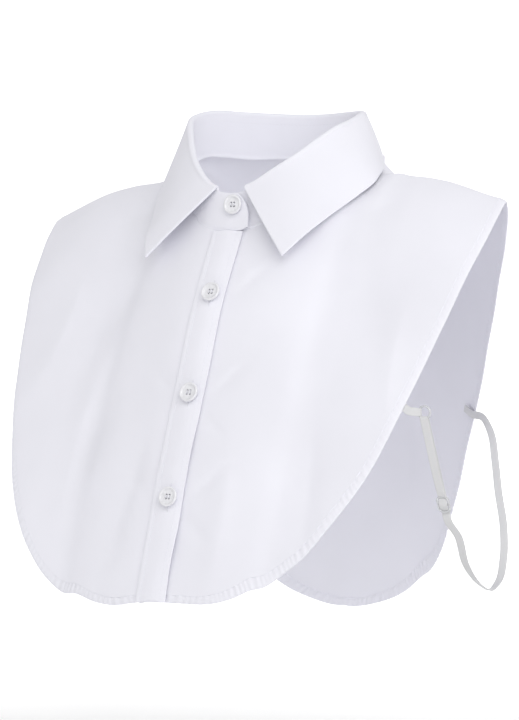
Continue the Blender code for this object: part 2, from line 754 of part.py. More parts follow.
def make_ring(name, centre, look):
    """A round ring of plastic wire that stands upright and faces front and back."""
    points = []
    faces = []
    for step in range(RING_TURNS):
        turn = 2 * math.pi * step / RING_TURNS
        for index in range(RING_SIDES):
            lean = 2 * math.pi * index / RING_SIDES
            reach = RING_RADIUS + RING_WIRE * math.cos(lean)
            points.append((reach * math.cos(turn), RING_WIRE * math.sin(lean), reach * math.sin(turn)))
    for step in range(RING_TURNS):
        for index in range(RING_SIDES):
            a = step * RING_SIDES + index
            b = step * RING_SIDES + (index + 1) % RING_SIDES
            c = ((step + 1) % RING_TURNS) * RING_SIDES + (index + 1) % RING_SIDES
            d = ((step + 1) % RING_TURNS) * RING_SIDES + index
            faces.append((a, b, c, d))
    made = mesh_object(name, points, faces, look)
    made.matrix_world = Matrix.Translation(Vector(centre))


def make_slider(name, centre, along, across, look):
    """A flat plate with two slots and a bar between them."""
    work = bmesh.new()
    bmesh.ops.create_cube(work, size=1.0)
    for corner in work.verts:
        corner.co = Vector((corner.co.x * SLIDER_WIDTH, corner.co.y * SLIDER_HEIGHT,
                            corner.co.z * SLIDER_WALL))
    mesh = bpy.data.meshes.new(name)
    work.to_mesh(mesh)
    work.free()
    mesh.materials.append(look)
    plate = bpy.data.objects.new(name, mesh)
    bpy.context.scene.collection.objects.link(plate)
    along = Vector(along).normalized()
    flat = Vector(across).cross(along).normalized()
    frame = Matrix((along.cross(flat), along, flat)).transposed().to_4x4()
    frame.translation = Vector(centre)
    plate.matrix_world = frame
    slot_width = SLIDER_WIDTH - 2 * SLIDER_BAR
    slot_height = (SLIDER_HEIGHT - 3 * SLIDER_BAR) / 2
    for index, side in enumerate((-1, 1)):
        cutter = bpy.data.meshes.new("%s_slot" % name)
        work = bmesh.new()
        bmesh.ops.create_cube(work, size=1.0)
        for corner in work.verts:
            corner.co = Vector((corner.co.x * slot_width, corner.co.y * slot_height,
                                corner.co.z * 3 * SLIDER_WALL))
        work.to_mesh(cutter)
        work.free()
        slot = bpy.data.objects.new("%s_slot_%d" % (name, index + 1), cutter)
        bpy.context.scene.collection.objects.link(slot)
        shift = side * (slot_height + SLIDER_BAR) / 2
        slot.matrix_world = frame @ Matrix.Translation(Vector((0.0, shift, 0.0)))
        slot.hide_render = True
        slot.display_type = "WIRE"
        cut = plate.modifiers.new("slot_%d" % (index + 1), "BOOLEAN")
        cut.operation = "DIFFERENCE"
        cut.solver = "EXACT"
        cut.object = slot


def make_strap(side_name, side, tape_look, ring_look):
    """Tab, ring, doubled tape, slider and hanging loop of one side."""
    mirror = np.array([side, 1.0, 1.0])
    across = np.array(STRAP_ACROSS) * mirror
    inward = np.array([0.0 if side > 0 else RIGHT_STRAP_IN, 0.0, 0.0])

    def placed(rows):
        return (np.asarray(rows, float) - inward) * CM * mirror

    def sewn(rows):
        """Places on the inner face of a panel, and the way up the cloth there."""
        rows = (np.asarray(rows, float) - inward[:2]) * CM
        x = rows[:, 0] * side
        length = rows[:, 1]
        small = SLOPE_STEP * np.sign(length)
        up = drape_plain(x, length - small) - drape_plain(x, length + small)
        up = up / np.linalg.norm(up, axis=1, keepdims=True)
        return drape(x, length, -SEWN_INSIDE), up

    ring = placed(RING_CENTRE)
    slider = placed(SLIDER_CENTRE)
    reach = RING_RADIUS + RING_WIRE + STRAP_GAP
    make_ring("strap_ring_" + side_name, ring, ring_look)

    seat, up = sewn(TAB_SEWN)
    middle = placed(TAB_MIDDLE)
    wire = ring - np.array([side, 0.0, 0.0]) * RING_RADIUS
    approach = (wire - middle) / np.linalg.norm(wire - middle)
    tab_end = wire - approach * (RING_WIRE + STRAP_GAP)
    tab = np.concatenate([seat, [middle, tab_end]])
    tab_across = np.concatenate([up, [(0.0, 0.0, 1.0), (0.0, 0.0, 1.0)]])
    ribbon("strap_tab_" + side_name, tab, TAPE_WIDTH, TAPE_WALL, tab_across, tape_look, TAB_STEPS)

    top = ring - np.array([0.0, 0.0, 1.0]) * reach
    down = (slider - top) / np.linalg.norm(slider - top)
    foot = slider - down * (SLIDER_HEIGHT / 2 + STRAP_GAP)
    doubled = (top, (top + foot) / 2, foot)
    ribbon("strap_doubled_" + side_name, doubled, TAPE_WIDTH, 2 * TAPE_WALL, across, tape_look,
           DOUBLED_STEPS)
    make_slider("strap_slider_" + side_name, slider, -down, across, ring_look)

    seat, up = sewn(LOOP_SEWN)
    start = slider + down * (SLIDER_HEIGHT / 2 + STRAP_GAP)
    loop = np.concatenate([[start, start + down * LOOP_STRAIGHT], placed(LOOP_ROUTE), seat])
    rows = len(LOOP_ROUTE) + 2
    turn = smooth_step(np.arange(rows), rows - LOOP_TURNS_OVER, rows)[:, None]
    loop_across = np.concatenate([across * (1 - turn) + up[0] * turn * side, up * side])
    ribbon("strap_loop_" + side_name, loop, TAPE_WIDTH, TAPE_WALL, loop_across, tape_look, LOOP_STEPS)


def main():
    clear_scene()
    cotton = material("white_cotton", WHITE_COTTON, 0.85)
    satin = material("pale_elastic", PALE_SATIN, 0.55)
    pearl = material("pearl_button", PEARL_PLASTIC, 0.30)
    clear = material("clear_plastic", CLEAR_PLASTIC, 0.25)
    make_front_left(cotton)
    make_front_right(cotton)
    make_placket(cotton)
    make_back(cotton)
    make_stand(cotton)
    make_leaf(cotton)
    make_buttons(pearl)
    make_strap("left", 1.0, satin, clear)
    make_strap("right", -1.0, satin, clear)


main()
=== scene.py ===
"""Dress for the detachable shirt collar: thin cloth on the panels, hems, stitches, buttons, straps, stage.

Metres, +Z up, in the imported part's own frame. The wearer faces -Y and the wearer's left is +X.
The drape and the stand follow the same rows as the part, and the turned-down collar nearly so. A place
on a panel is given by x, across the body, and by the length of cloth from the shoulder line, positive
to the front.
"""

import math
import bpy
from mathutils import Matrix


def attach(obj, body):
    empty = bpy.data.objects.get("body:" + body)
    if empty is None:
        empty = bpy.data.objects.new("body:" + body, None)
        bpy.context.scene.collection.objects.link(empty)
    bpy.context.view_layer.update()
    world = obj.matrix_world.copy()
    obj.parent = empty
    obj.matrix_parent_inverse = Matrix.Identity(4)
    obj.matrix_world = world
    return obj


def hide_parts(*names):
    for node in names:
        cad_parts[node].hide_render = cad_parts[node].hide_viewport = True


bl_info = {
    "name": "Shirt Collar Dress",
    "version": (1, 0, 0),
    "blender": (4, 5, 0),
    "location": "View3D > Sidebar > Shirt Collar",
    "description": "Cotton cloth, hems, stitching, buttons and elastic straps for a detachable shirt collar",
    "category": "Object",
}

import bmesh
import bpy
import numpy as np
from mathutils import Vector

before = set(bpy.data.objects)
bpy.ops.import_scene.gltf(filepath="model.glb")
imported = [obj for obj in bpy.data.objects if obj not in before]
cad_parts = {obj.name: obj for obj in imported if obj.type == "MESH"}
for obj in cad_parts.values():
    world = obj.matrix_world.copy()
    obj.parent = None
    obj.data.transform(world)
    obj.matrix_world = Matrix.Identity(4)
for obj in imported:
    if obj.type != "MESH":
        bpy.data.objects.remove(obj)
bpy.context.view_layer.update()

# The tables are in centimetres and degrees
CM = 0.01

# Where the cloth lies: the part's own walls, then the thin cloth on their outer faces
PLACKET_HALF_WIDTH = 0.0105
RIGHT_FRONT_EDGE = 0.0088
RIGHT_FRONT_LIFT = 0.0019
LIFT_STARTS = -0.045
LIFT_ENDS = -0.014
PLACKET_LIFT = 0.0034
RIGHT_UNDER_STAND = 0.0009
PLACKET_UNDER_STAND = 0.0019
PLACKET_WALL = 0.0014
STAND_WALL = 0.0020
CLOTH_LIFT = 0.0003
CLOTH_HALF = 0.00024
EDGE_STEPS = 800
NECK_STEPS = 600

# Shoulder seam and neck seam
SEAM_ANGLE = 97.3
NECK_RADIUS_SIDE = 0.0628
NECK_RADIUS_FRONT = 0.0576
NECK_FRONT_ANGLE = 60.0
NECK_PAST_CENTRE = 20.0
UNDER_STAND_FADE = (16.0, 46.0)

# The shoulder line, from the centre of the neck to the shoulder tip
SHOULDER_COLUMNS = ("x", "y", "z")
SHOULDER_LINE = (
    (0.0, 0.80, 1.80),
    (4.0, 0.80, 1.20),
    (6.3, 0.80, 0.10),
    (7.5, 0.70, -1.05),
    (9.0, 0.45, -1.75),
    (11.5, 0.00, -2.15),
    (14.5, -0.60, -2.80),
    (17.5, -1.20, -3.45),
)

# The fall of the cloth from the shoulder line, at the centre of the body and at the shoulder tip
FALL_COLUMNS = ("length", "centre_y", "centre_z", "tip_y", "tip_z")
FALL = (
    (-37.60, 8.00, -33.00, 1.20, -37.10),
    (-26.60, 8.70, -22.00, 1.20, -26.10),
    (-18.60, 8.50, -14.00, 1.00, -18.10),
    (-12.60, 7.90, -8.00, 0.90, -12.15),
    (-8.50, 6.90, -4.00, 0.83, -8.05),
    (-5.80, 5.50, -1.70, 0.80, -5.40),
    (-3.05, 3.00, -0.50, 0.78, -2.65),
    (-1.20, 1.20, -0.08, 0.62, -0.72),
    (0.00, 0.00, 0.00, 0.00, 0.00),
    (1.50, -1.50, -0.25, -1.05, -1.00),
    (3.30, -3.10, -1.10, -2.10, -2.45),
    (6.20, -5.00, -3.30, -3.75, -4.85),
    (10.30, -6.60, -7.00, -5.70, -8.35),
    (14.80, -8.65, -10.90, -7.75, -12.35),
    (21.50, -11.10, -17.15, -10.70, -18.30),
    (28.20, -13.40, -23.50, -14.00, -24.20),
    (34.90, -15.40, -29.95, -16.70, -30.35),
)
SHOULDER_TIP_X = 0.175

# The cut edge of each panel, from the shoulder tip to the middle of the hem. The shirt sits lower on the
# wearer's right, so the right front's edge runs out further there. The back's two halves are alike.
FRONT_EDGE_LEFT = (
    (17.5, 0.0),
    (17.25, 2.3),
    (16.95, 4.5),
    (16.45, 7.6),
    (15.75, 11.0),
    (15.0, 14.4),
    (14.0, 18.5),
    (13.1, 21.3),
    (11.6, 24.5),
    (10.0, 27.1),
    (8.4, 29.2),
    (7.0, 31.1),
    (5.3, 33.2),
    (3.5, 34.3),
    (1.7, 34.65),
    (0.0, 34.8),
)
FRONT_EDGE_RIGHT = (
    (17.5, 0.0),
    (17.4, 3.0),
    (17.05, 5.5),
    (16.6, 7.8),
    (15.9, 11.9),
    (15.1, 15.7),
    (14.25, 19.4),
    (13.3, 22.6),
    (12.4, 24.8),
    (11.2, 27.1),
    (9.7, 29.2),
    (8.1, 31.1),
    (6.4, 32.9),
    (4.6, 34.3),
    (2.9, 34.95),
    (1.3, 34.9),
    (0.0, 34.8),
)
BACK_EDGE = (
    (17.5, 0.0),
    (17.0, -3.0),
    (16.0, -7.0),
    (15.0, -10.2),
    (13.5, -14.6),
    (12.0, -18.6),
    (10.0, -24.4),
    (8.5, -28.6),
    (7.0, -31.6),
    (5.0, -34.8),
    (3.0, -36.5),
    (0.0, -37.4),
)

# The tip of the wearer's right shoulder droops.
TIP_DROOP = 0.0055
TIP_DROOP_FROM = 0.130

# The largest soft folds: where each starts and ends on the drape, its half width and its height
FOLD_COLUMNS = ("x_start", "length_start", "x_end", "length_end", "half_width", "height")
FOLDS = (
    (9.5, 6.0, 12.5, 17.0, 1.6, -0.14),
    (5.5, 13.0, 8.5, 25.0, 1.8, 0.12),
    (-8.5, 8.0, -10.5, 20.0, 1.7, -0.12),
    (-4.5, 17.0, -6.5, 29.0, 1.8, 0.12),
    (8.0, -8.0, 10.5, -19.0, 1.8, -0.14),
    (-7.5, -9.0, -9.5, -21.0, 1.8, -0.13),
    (1.0, -13.0, 2.0, -28.0, 2.2, 0.15),
)

# The stand by the angle from the front centre: its upper edge, and where its foot is from the neck edge
STAND_COLUMNS = ("angle", "radius", "z", "foot_out", "foot_up")
STAND = (
    (0.0, 5.62, -2.75, 0.10, 0.12),
    (12.0, 5.62, -2.50, 0.10, 0.12),
    (30.0, 5.58, -1.40, 0.02, 0.12),
    (46.0, 5.56, -0.30, -0.17, -0.06),
    (58.0, 5.55, 0.60, -0.17, -0.06),
    (72.0, 5.55, 1.50, -0.17, -0.06),
    (86.0, 5.55, 2.05, -0.17, -0.06),
    (104.0, 5.55, 2.60, -0.17, -0.06),
    (125.0, 5.55, 2.80, -0.17, -0.06),
    (180.0, 5.55, 2.80, -0.17, -0.06),
)
STAND_LEAN = 0.003
STAND_FOOT_DOWN = 0.0013
# The collar stands up and out further at the wearer's right side.
RIGHT_PEAK_ANGLE = 80.0
RIGHT_PEAK_AHEAD = 17.0
RIGHT_PEAK_BEHIND = 26.0
RIGHT_PEAK_OUT = 0.0048
RIGHT_PEAK_UP = 0.0034
STAND_HEAD_UP = 0.0010
STAND_END_OFF = 0.0012
STAND_RIDGE = 0.0006
STAND_OVERLAP = 14.0
STAND_LAYER_GAP = 0.0024
LAYER_FADE = 45.0
END_ROUNDS_FROM = 2.0
END_LEAST_HEIGHT = 0.30

# The turned-down collar: where each thread leaves the fold and where it reaches the lower edge
LEAF_COLUMNS = ("fold_angle", "edge_angle", "edge_radius", "edge_z", "sideways")
LEAF = (
    (10.0, 35.4, 9.02, -6.85, -0.36),
    (22.0, 43.5, 8.80, -5.58, -0.15),
    (36.0, 52.5, 8.42, -4.48, 0.08),
    (52.0, 64.0, 8.35, -3.34, 0.18),
    (68.0, 76.0, 8.40, -2.26, 0.20),
    (84.0, 87.5, 7.85, -1.48, 0.20),
    (100.0, 101.0, 7.25, -0.92, 0.15),
    (125.0, 125.0, 6.90, -0.45, 0.10),
    (180.0, 180.0, 6.90, -0.10, 0.00),
)
LEAF_ROLL_RADIUS = 0.0014
LEAF_SEAT = 0.0005
LEAF_CLEARANCE = 0.0026
LEAF_BULGE = 0.0008

# Smaller creases of the cloth, in the same columns as the soft folds
CREASES = (
    (0.9, 15.2, 4.6, 11.6, 0.45, -0.085),
    (1.0, 21.6, 4.4, 18.6, 0.40, -0.102),
    (0.9, 22.2, 3.4, 24.6, 0.40, -0.068),
    (0.9, 28.3, 4.8, 24.9, 0.45, -0.119),
    (1.0, 28.9, 3.6, 31.2, 0.50, -0.085),
    (-1.0, 21.8, -4.2, 19.2, 0.45, -0.076),
    (-1.0, 28.4, -4.6, 26.4, 0.50, -0.085),
    (3.2, 23.0, 4.4, 34.6, 0.90, 0.136),
    (8.6, 16.0, 9.4, 30.6, 1.00, -0.119),
    (-3.0, 22.0, -3.6, 34.6, 0.90, -0.136),
    (-7.4, 12.0, -9.6, 29.0, 1.10, 0.136),
    (-11.6, 6.0, -13.6, 18.0, 1.00, 0.119),
    (6.4, 5.6, 11.4, 2.6, 0.90, -0.102),
    (-6.6, 6.0, -11.6, 3.0, 0.90, -0.102),
    (9.0, 8.4, 15.8, 6.4, 1.00, -0.102),
    (13.0, 9.0, 13.8, 19.0, 0.80, 0.102),
    (-2.6, -9.0, -4.4, -30.0, 1.30, 0.153),
    (4.8, -12.0, 6.2, -33.0, 1.20, -0.136),
    (11.6, -5.0, 12.2, -17.0, 1.00, 0.119),
    (-12.0, -5.0, -12.4, -17.0, 1.00, 0.119),
    (-5.6, -20.0, -3.8, -36.0, 1.10, -0.119),
    (0.6, -6.0, -0.4, -18.0, 0.90, -0.102),
)

# The cloth beside the collar stands this far off the shoulder, and sinks this far under its edge.
SHOULDER_RISE = 0.0036
SHOULDER_SINK = 0.0034

# Hems: the turned band, its stitch line, and the puckers that the stitching draws up
HEM_WIDTH = 0.0056
HEM_STITCH = 0.0046
HEM_TOP = 0.00058
HEM_FOOT = -0.00062
HEM_GROOVE = 0.00026
HEM_ROLL = 0.00110
PUCKER_LENGTH = 0.0048
PUCKER_SLANT = 0.013
PUCKER_FADE = 0.0100

# Buttons, as the part has them
BUTTON_RADIUS = 0.0064
BUTTON_THICKNESS = 0.0026
BUTTON_SEAT = 0.0004
BUTTON_HOLE_RADIUS = 0.0008
BUTTON_HOLE_RING = 0.0015
STAND_BUTTON_ANGLE = 3.5
STAND_BUTTON_RISE = 0.66
PLACKET_BUTTONS = (15.0, 21.7, 28.4)
PLACKET_BUTTON_SIDE = 0.0022

# The elastic side straps. The left one is given, and the right one mirrors it a little further in.
TAPE_WIDTH = 0.005
TAB_SEWN = (
    (13.70, 16.00),
    (14.30, 16.10),
)
TAB_MIDDLE = (14.72, -8.80, -16.25)
LOOP_SEWN = (
    (12.30, -17.30),
    (11.50, -17.40),
)
SEWN_INSIDE = 0.0020
SLOPE_STEP = 0.002
STRAP_ACROSS = (0.95, 0.25, 0.0)
RING_CENTRE = (15.50, -8.24, -16.35)
RING_RADIUS = 0.0038
RING_WIRE = 0.0007
SLIDER_CENTRE = (16.13, -6.95, -21.95)
SLIDER_WIDTH = 0.0085
SLIDER_HEIGHT = 0.0105
SLIDER_BAR = 0.0014
LOOP_ROUTE = (
    (16.48, -5.70, -24.00),
    (16.38, -4.60, -25.69),
    (16.36, -3.50, -26.68),
    (16.40, -2.40, -27.35),
    (16.52, -1.30, -27.68),
    (16.66, -0.50, -27.16),
    (16.60, 0.20, -25.97),
    (16.21, 1.00, -23.92),
    (15.51, 1.70, -21.87),
    (14.96, 2.30, -19.85),
    (14.46, 2.75, -18.22),
    (13.72, 3.20, -17.30),
)
LOOP_TURN = (0.0, -15.0, -35.0, -52.0, -44.0, -18.0, 0.0, 0.0, 0.0, 0.0, 0.0, 0.0)
RIGHT_STRAP_IN = 0.75
LOOP_TURNS_OVER = 4

# Stitches
STITCH_PITCH = 0.0026
STITCH_LENGTH = 0.0019
STITCH_WIDTH = 0.00042

# The camera, measured from the picture
VIEW_AZIMUTH = 32.0
VIEW_ELEVATION = 1.5
VIEW_DISTANCE = 1.5
VIEW_LENS = 112.5
VIEW_HEIGHT = -0.136
VIEW_SHIFT = -0.0257


class ClothSettings(bpy.types.PropertyGroup):
    """Sizes and colours of the cotton."""

    cotton: bpy.props.FloatVectorProperty(
        name="Cotton", description="Colour of the woven cotton", subtype="COLOR",
        size=3, min=0.0, max=1.0, default=(0.885, 0.882, 0.945))
    crease: bpy.props.FloatProperty(
        name="Crease depth", description="How strongly the small creases show, 1 being as made",
        default=1.0, min=0.0, max=2.0)
    pucker: bpy.props.FloatProperty(
        name="Pucker height", description="Height of the small puckers along the hems",
        default=0.00034, min=0.0, max=0.001, unit="LENGTH")
    leaf_wall: bpy.props.FloatProperty(
        name="Collar thickness", description="Thickness of the turned-down collar",
        default=0.0018, min=0.0008, max=0.003, unit="LENGTH")
    stand_wall: bpy.props.FloatProperty(
        name="Stand thickness", description="Thickness of the collar stand",
        default=0.0017, min=0.0008, max=0.003, unit="LENGTH")
    placket_wall: bpy.props.FloatProperty(
        name="Placket thickness", description="Thickness of the folded button band",
        default=0.0012, min=0.0008, max=0.003, unit="LENGTH")


class TrimSettings(bpy.types.PropertyGroup):
    """Sizes and colours of the buttons, the thread and the straps."""

    pearl: bpy.props.FloatVectorProperty(
        name="Button", description="Colour of the pearl buttons", subtype="COLOR",
        size=3, min=0.0, max=1.0, default=(0.87, 0.87, 0.90))
    thread: bpy.props.FloatVectorProperty(
        name="Thread", description="Colour of the sewing thread", subtype="COLOR",
        size=3, min=0.0, max=1.0, default=(0.87, 0.87, 0.93))
    elastic: bpy.props.FloatVectorProperty(
        name="Elastic", description="Colour of the satin elastic", subtype="COLOR",
        size=3, min=0.0, max=1.0, default=(0.70, 0.70, 0.71))
    clear: bpy.props.FloatVectorProperty(
        name="Clear plastic", description="Tint of the ring and the slider", subtype="COLOR",
        size=3, min=0.0, max=1.0, default=(0.84, 0.85, 0.87))
    tape_wall: bpy.props.FloatProperty(
        name="Tape thickness", description="Thickness of the elastic tape",
        default=0.0009, min=0.0004, max=0.0015, unit="LENGTH")


class StageSettings(bpy.types.PropertyGroup):
    """The floor, the light and the sky."""

    floor: bpy.props.FloatProperty(
        name="Floor height", description="Height of the pale floor below the shirt",
        default=-0.42, max=-0.35, unit="LENGTH")
    key: bpy.props.FloatProperty(
        name="Key light", description="Power of the soft light on the right", default=9.0, min=0.0)
    fill: bpy.props.FloatProperty(
        name="Fill light", description="Power of the soft light on the left", default=1.2, min=0.0)
    side: bpy.props.FloatProperty(
        name="Side light", description="Power of the low light at the side, which reaches inside the back",
        default=1.0, min=0.0)
    sky: bpy.props.FloatProperty(
        name="Sky", description="Strength of the even light all round", default=0.63, min=0.0)


def through(place, knots, values):
    """A smooth curve through table rows: cubic pieces that share the mean slope at each row."""
    place = np.asarray(place, float)
    knots = np.asarray(knots, float)
    values = np.asarray(values, float).reshape(len(knots), -1)
    step = np.diff(knots)[:, None]
    side = np.diff(values, axis=0) / step
    inner = (side[:-1] * step[1:] + side[1:] * step[:-1]) / (step[1:] + step[:-1])
    slope = np.vstack([side[:1], inner, side[-1:]])
    flat = place.ravel()
    row = np.clip(np.searchsorted(knots, flat) - 1, 0, len(knots) - 2)
    width = step[row]
    part = (flat - knots[row])[:, None] / width
    rise = 3 * part**2 - 2 * part**3
    leave = part**3 - 2 * part**2 + part
    arrive = part**3 - part**2
    out = values[row] * (1 - rise) + values[row + 1] * rise
    out = out + width * (slope[row] * leave + slope[row + 1] * arrive)
    out = out.reshape(place.shape + (-1,))
    return out[..., 0] if out.shape[-1] == 1 else out


def table(rows, columns, knot, wanted, place):
    """Columns of a table, smooth between its rows, at a place along its knot column."""
    rows = np.asarray(rows, float)
    picked = [columns.index(name) for name in wanted]
    return through(place, rows[:, columns.index(knot)], rows[:, picked])


def smooth_step(value, low, high):
    """Zero below low, one above high, and an even S between."""
    part = np.clip((np.asarray(value, float) - low) / (high - low), 0.0, 1.0)
    return part * part * (3 - 2 * part)


def fold_height(x, length):
    """Height of the soft folds: each is a bell across its line that fades to nothing at both ends."""
    total = np.zeros(np.broadcast(x, length).shape)
    for row in FOLDS:
        fold = dict(zip(FOLD_COLUMNS, row))
        start = np.array([fold["x_start"], fold["length_start"]]) * CM
        run = np.array([fold["x_end"], fold["length_end"]]) * CM - start
        reach = np.hypot(*run)
        along = ((x - start[0]) * run[0] + (length - start[1]) * run[1]) / reach**2
        across = ((x - start[0]) * run[1] - (length - start[1]) * run[0]) / reach
        bell = np.exp(-(across / (fold["half_width"] * CM)) ** 2)
        fade = np.sin(np.pi * np.clip(along, 0.0, 1.0)) ** 2
        total = total + fold["height"] * CM * bell * fade
    return total


def drape_plain(x, length):
    """The bare drape: the shoulder line plus a fall that blends from the centre's to the tip's."""
    x, length = np.broadcast_arrays(np.asarray(x, float), np.asarray(length, float))
    ridge = table(SHOULDER_LINE, SHOULDER_COLUMNS, "x", ("y", "z"), np.abs(x) / CM)
    centre = table(FALL, FALL_COLUMNS, "length", ("centre_y", "centre_z"), length / CM)
    tip = table(FALL, FALL_COLUMNS, "length", ("tip_y", "tip_z"), length / CM)
    share = ((x / SHOULDER_TIP_X) ** 2)[..., None]
    place = (ridge + centre * (1 - share) + tip * share) * CM
    droop = np.clip((-x - TIP_DROOP_FROM) / (SHOULDER_TIP_X - TIP_DROOP_FROM), 0.0, None) ** 2
    place[..., 1] = place[..., 1] - TIP_DROOP * droop
    return np.concatenate([x[..., None], place], axis=-1)


def drape_out(x, length):
    """The outward direction of the drape, from its slopes along x and along the cloth."""
    small = 0.0005
    along_x = drape_plain(x + small, length) - drape_plain(x - small, length)
    along_cloth = drape_plain(x, length + small) - drape_plain(x, length - small)
    out = np.cross(along_cloth, along_x)
    return out / np.linalg.norm(out, axis=-1, keepdims=True)


def drape(x, length, lift=0.0):
    """A place on the draped cloth with its folds, raised outward by lift."""
    rise = (np.asarray(lift) + fold_height(x, length))[..., None]
    return drape_plain(x, length) + drape_out(x, length) * rise


def cloth_length(x, y):
    """The cloth length at which the drape passes over a plan place, by halving."""
    x, y = np.broadcast_arrays(np.asarray(x, float), np.asarray(y, float))
    low = np.full(x.shape, BACK_EDGE[-1][1] * CM)
    high = np.full(x.shape, FRONT_EDGE_LEFT[-1][1] * CM)
    for _ in range(40):
        middle = (low + high) / 2
        passed = drape_plain(x, middle)[..., 1] < y
        high = np.where(passed, middle, high)
        low = np.where(passed, low, middle)
    return (low + high) / 2


def neck_radius(angle):
    """Radius of the neck edge by the angle, a little smaller at the front."""
    front = smooth_step(np.abs(angle), 0.0, NECK_FRONT_ANGLE)
    return NECK_RADIUS_FRONT + (NECK_RADIUS_SIDE - NECK_RADIUS_FRONT) * front


def neck_place(angle):
    """Place on the drape of the neck edge, by the angle from the front centre, left positive."""
    turn = np.radians(angle)
    radius = neck_radius(angle)
    x = radius * np.sin(turn)
    return np.stack([x, cloth_length(x, -radius * np.cos(turn))], axis=-1)


def edge_place(rows, other_rows):
    """Dense line of a panel's cut edge, from one shoulder tip across the hem to the other."""
    near = np.asarray(rows) * CM
    far = np.asarray(other_rows)[-2::-1] * CM * (-1, 1)
    whole = np.vstack([near, far])
    chord = np.concatenate([[0], np.cumsum(np.hypot(*np.diff(whole, axis=0).T))])
    return through(np.linspace(0, chord[-1], EDGE_STEPS), chord, whole)


def crease_height(x, length):
    """Height of the small creases: a sharper bell across each line, with one side steeper than the other."""
    total = np.zeros(np.broadcast(x, length).shape)
    for row in CREASES:
        crease = dict(zip(FOLD_COLUMNS, row))
        start = np.array([crease["x_start"], crease["length_start"]]) * CM
        run = np.array([crease["x_end"], crease["length_end"]]) * CM - start
        reach = np.hypot(*run)
        along = ((x - start[0]) * run[0] + (length - start[1]) * run[1]) / reach**2
        across = ((x - start[0]) * run[1] - (length - start[1]) * run[0]) / reach
        sway = across + crease["half_width"] * CM * 0.35 * np.sin(5.0 * along + start[0] * 90.0)
        width = crease["half_width"] * CM * np.where(sway > 0, 0.75, 1.25)
        fade = np.sin(np.pi * np.clip(along, 0.0, 1.0)) ** 1.5
        total = total + crease["height"] * CM * np.exp(-np.abs(sway / width) ** 1.7) * fade
    return total


def shoulder_rise(x, length):
    """The cloth stands a little off the shoulder beside the collar, and sinks under the collar's edge."""
    beside = smooth_step(np.abs(x), 0.080, 0.092) * (1 - smooth_step(np.abs(x), 0.125, 0.170))
    below = smooth_step(np.abs(x), 0.064, 0.070) * (1 - smooth_step(np.abs(x), 0.074, 0.084))
    height = SHOULDER_RISE * beside - SHOULDER_SINK * below
    return height * np.exp(-(np.asarray(length) / 0.030) ** 2)


def unevenness(x, length):
    """Slow waves of cloth that is never quite flat: a few sines of different length and direction."""
    wave = np.sin(41.0 * x + 17.0 * length + 0.4) + 0.8 * np.sin(23.0 * x - 52.0 * length + 1.9)
    wave = wave + 0.6 * np.sin(77.0 * x + 66.0 * length + 2.6) + 0.5 * np.sin(121.0 * length + 38.0 * x)
    return 0.00026 * wave


def cloth(x, length, lift=0.0):
    """A place on the draped cloth with its folds and creases, raised outward by lift."""
    depth = bpy.context.scene.shirt_cloth.crease
    small = depth * (crease_height(x, length) + unevenness(x, length)) + shoulder_rise(x, length)
    return drape(x, length, np.asarray(lift) + small)


def closed_wall(name, outer, inner, uv, looks):
    """A closed wall between two grids of points, with one UV place for each grid point."""
    rows, columns = outer.shape[:2]
    count = rows * columns
    index = np.arange(count).reshape(rows, columns)
    a, b, c, d = index[:-1, :-1], index[:-1, 1:], index[1:, 1:], index[1:, :-1]
    faces = [np.stack([a, b, c, d], -1).reshape(-1, 4), np.stack([a, d, c, b], -1).reshape(-1, 4) + count]
    rims = [(index[0, :-1], index[0, 1:]), (index[-1, 1:], index[-1, :-1]),
            (index[1:, 0], index[:-1, 0]), (index[:-1, -1], index[1:, -1])]
    for near, far in rims:
        faces.append(np.stack([near, near + count, far + count, far], -1))
    points = np.concatenate([outer.reshape(-1, 3), inner.reshape(-1, 3)])
    places = np.concatenate([uv.reshape(-1, 2), uv.reshape(-1, 2)])
    return solid_mesh(name, points, np.concatenate(faces), places, looks)


def ring_wall(name, rings, uv, looks, closed=False):
    """A profile carried along a path: rings of points, joined round and along. Open ends run in to a point."""
    if closed:
        rings = np.concatenate([rings, rings[:1]])
        uv = np.concatenate([uv, uv[:1]])
    else:
        first = np.broadcast_to(rings[:1].mean(axis=1, keepdims=True), rings[:1].shape)
        last = np.broadcast_to(rings[-1:].mean(axis=1, keepdims=True), rings[-1:].shape)
        rings = np.concatenate([first, rings, last])
        uv = np.concatenate([uv[:1], uv, uv[-1:]])
    count, sides = rings.shape[:2]
    index = np.arange(count * sides).reshape(count, sides)
    index = np.concatenate([index, index[:, :1]], axis=1)
    faces = np.stack([index[:-1, :-1], index[:-1, 1:], index[1:, 1:], index[1:, :-1]], -1)
    return solid_mesh(name, rings.reshape(-1, 3), faces.reshape(-1, 4), uv.reshape(-1, 2), looks)


